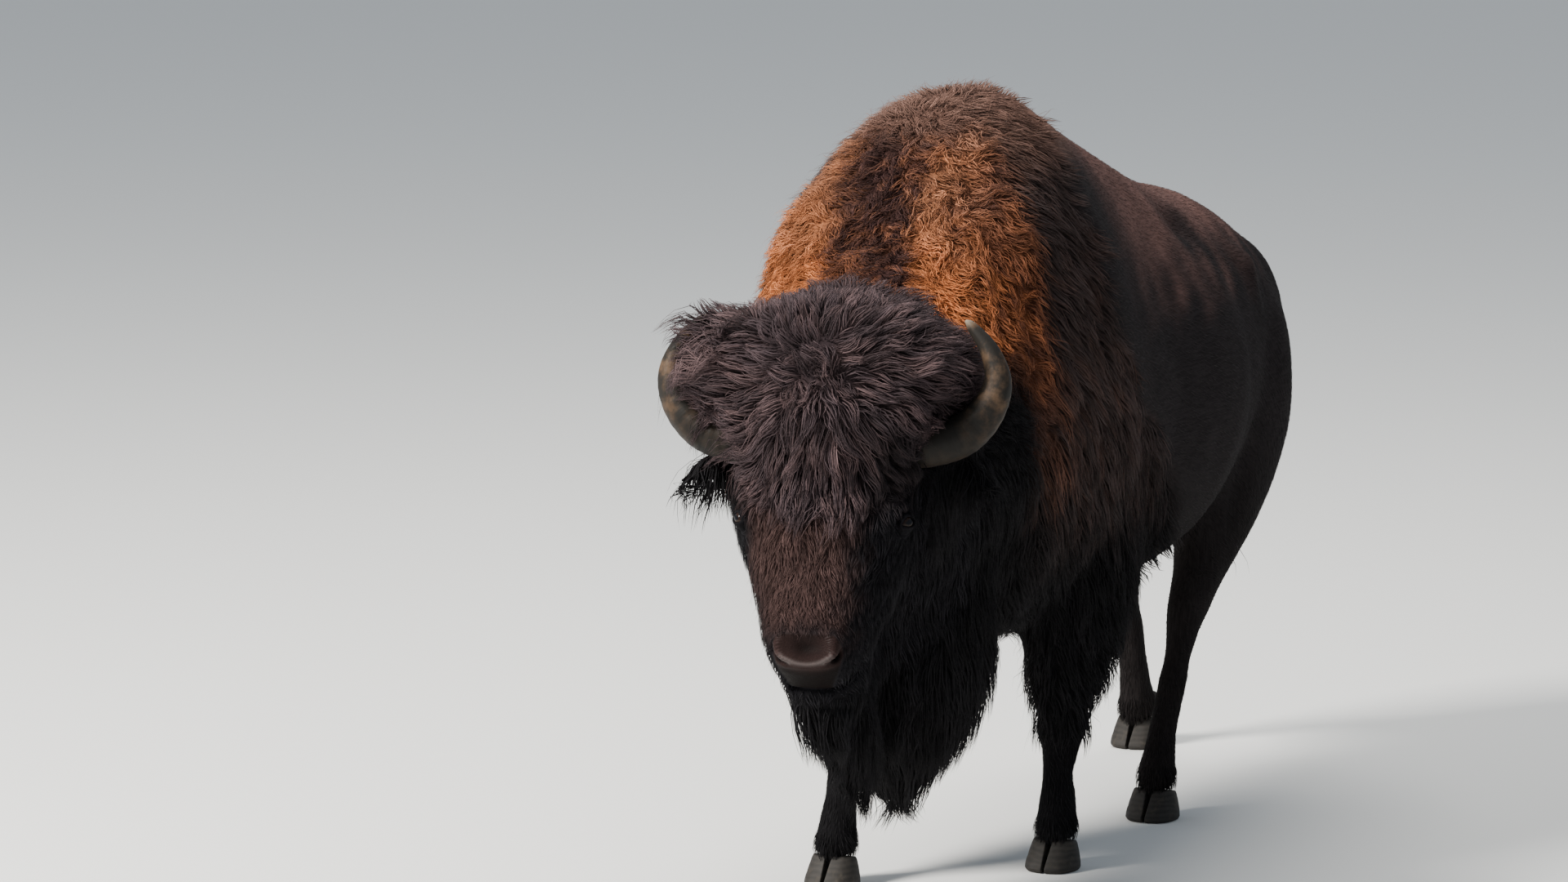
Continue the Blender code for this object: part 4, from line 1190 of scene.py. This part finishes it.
def hair_material():
    made, shader, start = new_material("hair", {"Specular IOR Level": 0.08})
    fine = noise(attribute(start, "strand", "Vector"), 2.2, 3.0, 0.6).ramp(0.36, 0.66)
    # Darker at the root: painted shade deep in the coat. Lighter at the tip: partly the hair's own paler
    # tips, partly painted highlight.
    light = 0.34 + fine * 0.66 + (attribute(start, "tip") ** 1.7) * 0.80
    feed(shader, {
        "Base Color": scaled(attribute(start, "tint", "Color"), light),
        "Roughness": 0.80 - fine * 0.14,
        "Normal": bump(fine, 0.55),
    })
    return made


def skin_material():
    """Short hair along the lie, and leather with pores where the skin is bare."""
    made, shader, start = new_material("skin", {"Coat Roughness": 0.20, "Specular IOR Level": 0.035})
    tint = attribute(start, "tint", "Color")
    bare = attribute(start, "bare")
    place = object_places(start)
    lying = noise(stretched(place, (240, 16, 240), math.radians(21)), 1.0, 3.0, 0.65)
    hanging = noise(stretched(place, (240, 240, 16)), 1.0, 3.0, 0.65)
    shares = {0: attribute(start, "upright"), 2: lying, 3: hanging}
    hair = start.node("ShaderNodeMix", shares, data_type="FLOAT").ramp(0.3, 0.7)
    patches = noise(place, 9.0, 4.0, 0.6)
    pores = start.node("ShaderNodeTexVoronoi", {"Vector": place, "Scale": 330.0}, feature="F1")
    furred = scaled(tint, 0.52 + hair * 0.40 + patches.ramp(0.3, 0.7) * 0.20)
    leathery = scaled(tint, 0.70 + pores * 0.5 + patches.ramp(0.35, 0.65) * 0.35)
    feed(shader, {
        "Base Color": blend(bare, furred, leathery),
        "Roughness": (0.90 - hair * 0.10) * (1 - bare) + bare * (0.46 + patches * 0.16),
        "Normal": bump(hair * (1 - bare) * 0.6 + bare * (1 - pores * 1.6) * 0.45, 0.5, 0.0015),
        "Coat Weight": attribute(start, "wet") * 0.9,
    })
    return made


def horn_material():
    """Black horn, brown in clouds, worn pale at the tip and scratched all over."""
    made, shader, start = new_material("horn", {"Specular IOR Level": 0.10})
    along = attribute(start, "along")
    place = object_places(start)
    scratch = noise(place, 140.0, 4.0, 0.7)
    rings = waves(start.node("ShaderNodeCombineXYZ", {0: along}), 9.0, 1.6, 3.0, "X")
    body = blend(noise(place, 16.0, 5.0, 0.62).ramp(0.42, 0.66), HORN_BLACK, HORN_BROWN)
    body = blend(scratch.ramp(0.50, 0.72) * 0.5, body, HORN_SCRATCH)
    body = blend(along.ramp(0.84, 0.99) * 0.75, body, HORN_TIP)
    feed(shader, {
        # Near black towards the base, under the wool: partly the horn's own colour, partly painted shade.
        "Base Color": blend(along.ramp(0.56, 0.27) * 0.85, body, HORN_BASE),
        "Roughness": 0.42 + scratch * 0.24,
        "Normal": bump(rings * (1 - along.ramp(0.35, 0.8)) * 0.5 + scratch * 0.5, 0.35),
    })
    return made


def eye_material():
    """A dark brown iris with a level pupil, under a thin wet coat."""
    wet = {"Coat Weight": 0.12, "Coat Roughness": 0.05, "Specular IOR Level": 0.10}
    made, shader, start = new_material("eye", wet)
    fibres = noise(object_places(start), 420.0, 3.0)
    brown = blend(fibres.ramp(0.35, 0.7), IRIS_DARK, IRIS_BROWN)
    colour = blend(attribute(start, "front").ramp(0.62, 0.68), EYE_WHITE, brown)
    feed(shader, {
        "Base Color": blend(attribute(start, "pupil"), colour, PUPIL),
        "Roughness": 0.20 + fibres * 0.06,
    })
    return made


def claw_material():
    """Dark horn in faint layers, with dry earth on it."""
    made, shader, start = new_material("claw", {"Specular IOR Level": 0.25})
    place = object_places(start)
    rings = waves(place, 26.0, 5.0, 4.0, "Z")
    dirt = noise(place, 45.0, 5.0, 0.65)
    wall = blend(rings * 0.35, CLAW_BLACK, CLAW_GREY)
    feed(shader, {
        "Base Color": blend(dirt.ramp(0.5, 0.75) * 0.5, wall, DRY_EARTH),
        "Roughness": 0.55 + dirt * 0.25,
        "Normal": bump(rings * 0.6 + dirt * 0.4, 0.4),
    })
    return made


# ---------------------------------------------------------------- stage

FLOOR_SIZE = 400.0
FLOOR_COLOUR = (0.78, 0.78, 0.76, 1)
SKY_COLOUR = (0.80, 0.89, 1.0, 1)
SKY_LIGHT = 0.50
LAMP_COLOUR = (1.0, 0.965, 0.91)
LAMPS = (
    # name, where it stands, its size and power
    ("key", (-4.5, -6.5, 7.6), 2.6, 2700),
    ("top", (-1.0, 2.5, 7.0), 4.0, 420),
)
LAMPS_AIM = Vector((0, -0.35, 0.95))
CAMERA_TURN = math.radians(24)
CAMERA_RISE = math.radians(9)
CAMERA_PLACE = Vector((7.747, -18.312, 4.134))
CAMERA_LENS = 207.4


def stage():
    """A pale floor, a pale sky and two soft lamps."""
    deselect()
    bpy.ops.mesh.primitive_plane_add(size=FLOOR_SIZE, location=(0, 0, 0))
    floor = bpy.context.object
    floor.name = "floor"
    pale, _, _ = new_material("floor_pale", {"Base Color": FLOOR_COLOUR, "Roughness": 0.9})
    floor.data.materials.append(pale)
    world = bpy.data.worlds.new("studio")
    world.use_nodes = True
    sky = world.node_tree.nodes["Background"]
    sky.inputs["Color"].default_value = SKY_COLOUR
    sky.inputs["Strength"].default_value = SKY_LIGHT
    bpy.context.scene.world = world
    for name, place, size, power in LAMPS:
        light = bpy.data.lights.new(name, "AREA")
        light.size = size
        light.energy = power
        light.color = LAMP_COLOUR
        lamp = new_object(name, light)
        lamp.location = place
        aim = LAMPS_AIM - Vector(place)
        lamp.rotation_euler = aim.to_track_quat("-Z", "Y").to_euler()


def camera():
    data = bpy.data.cameras.new("camera")
    data.sensor_width = 36.0
    data.lens = CAMERA_LENS
    data.clip_end = 500.0
    obj = new_object("camera", data)
    level = math.cos(CAMERA_RISE)
    back = Vector((math.sin(CAMERA_TURN) * level, -math.cos(CAMERA_TURN) * level, math.sin(CAMERA_RISE)))
    obj.location = CAMERA_PLACE + TO_ORIGIN
    obj.rotation_euler = (-back).to_track_quat("-Z", "Y").to_euler()
    bpy.context.scene.camera = obj


# ---------------------------------------------------------------- the whole model


def main():
    camera()
    stage()
    skin = skin_piece()
    coat_pieces(skin, hair_material())
    finish_piece(skin, skin_material(), "coat_flank", *FLESH)
    horn, eye, claw = horn_material(), eye_material(), claw_material()
    for name, side in SIDES:
        horn_piece("horn_" + name, side, horn)
        eye_piece("eye_" + name, side, eye)
    for name in CLAWS:
        claw_piece(name, claw)
    for foot in FEET:
        dewclaw_piece(foot, claw)


main()
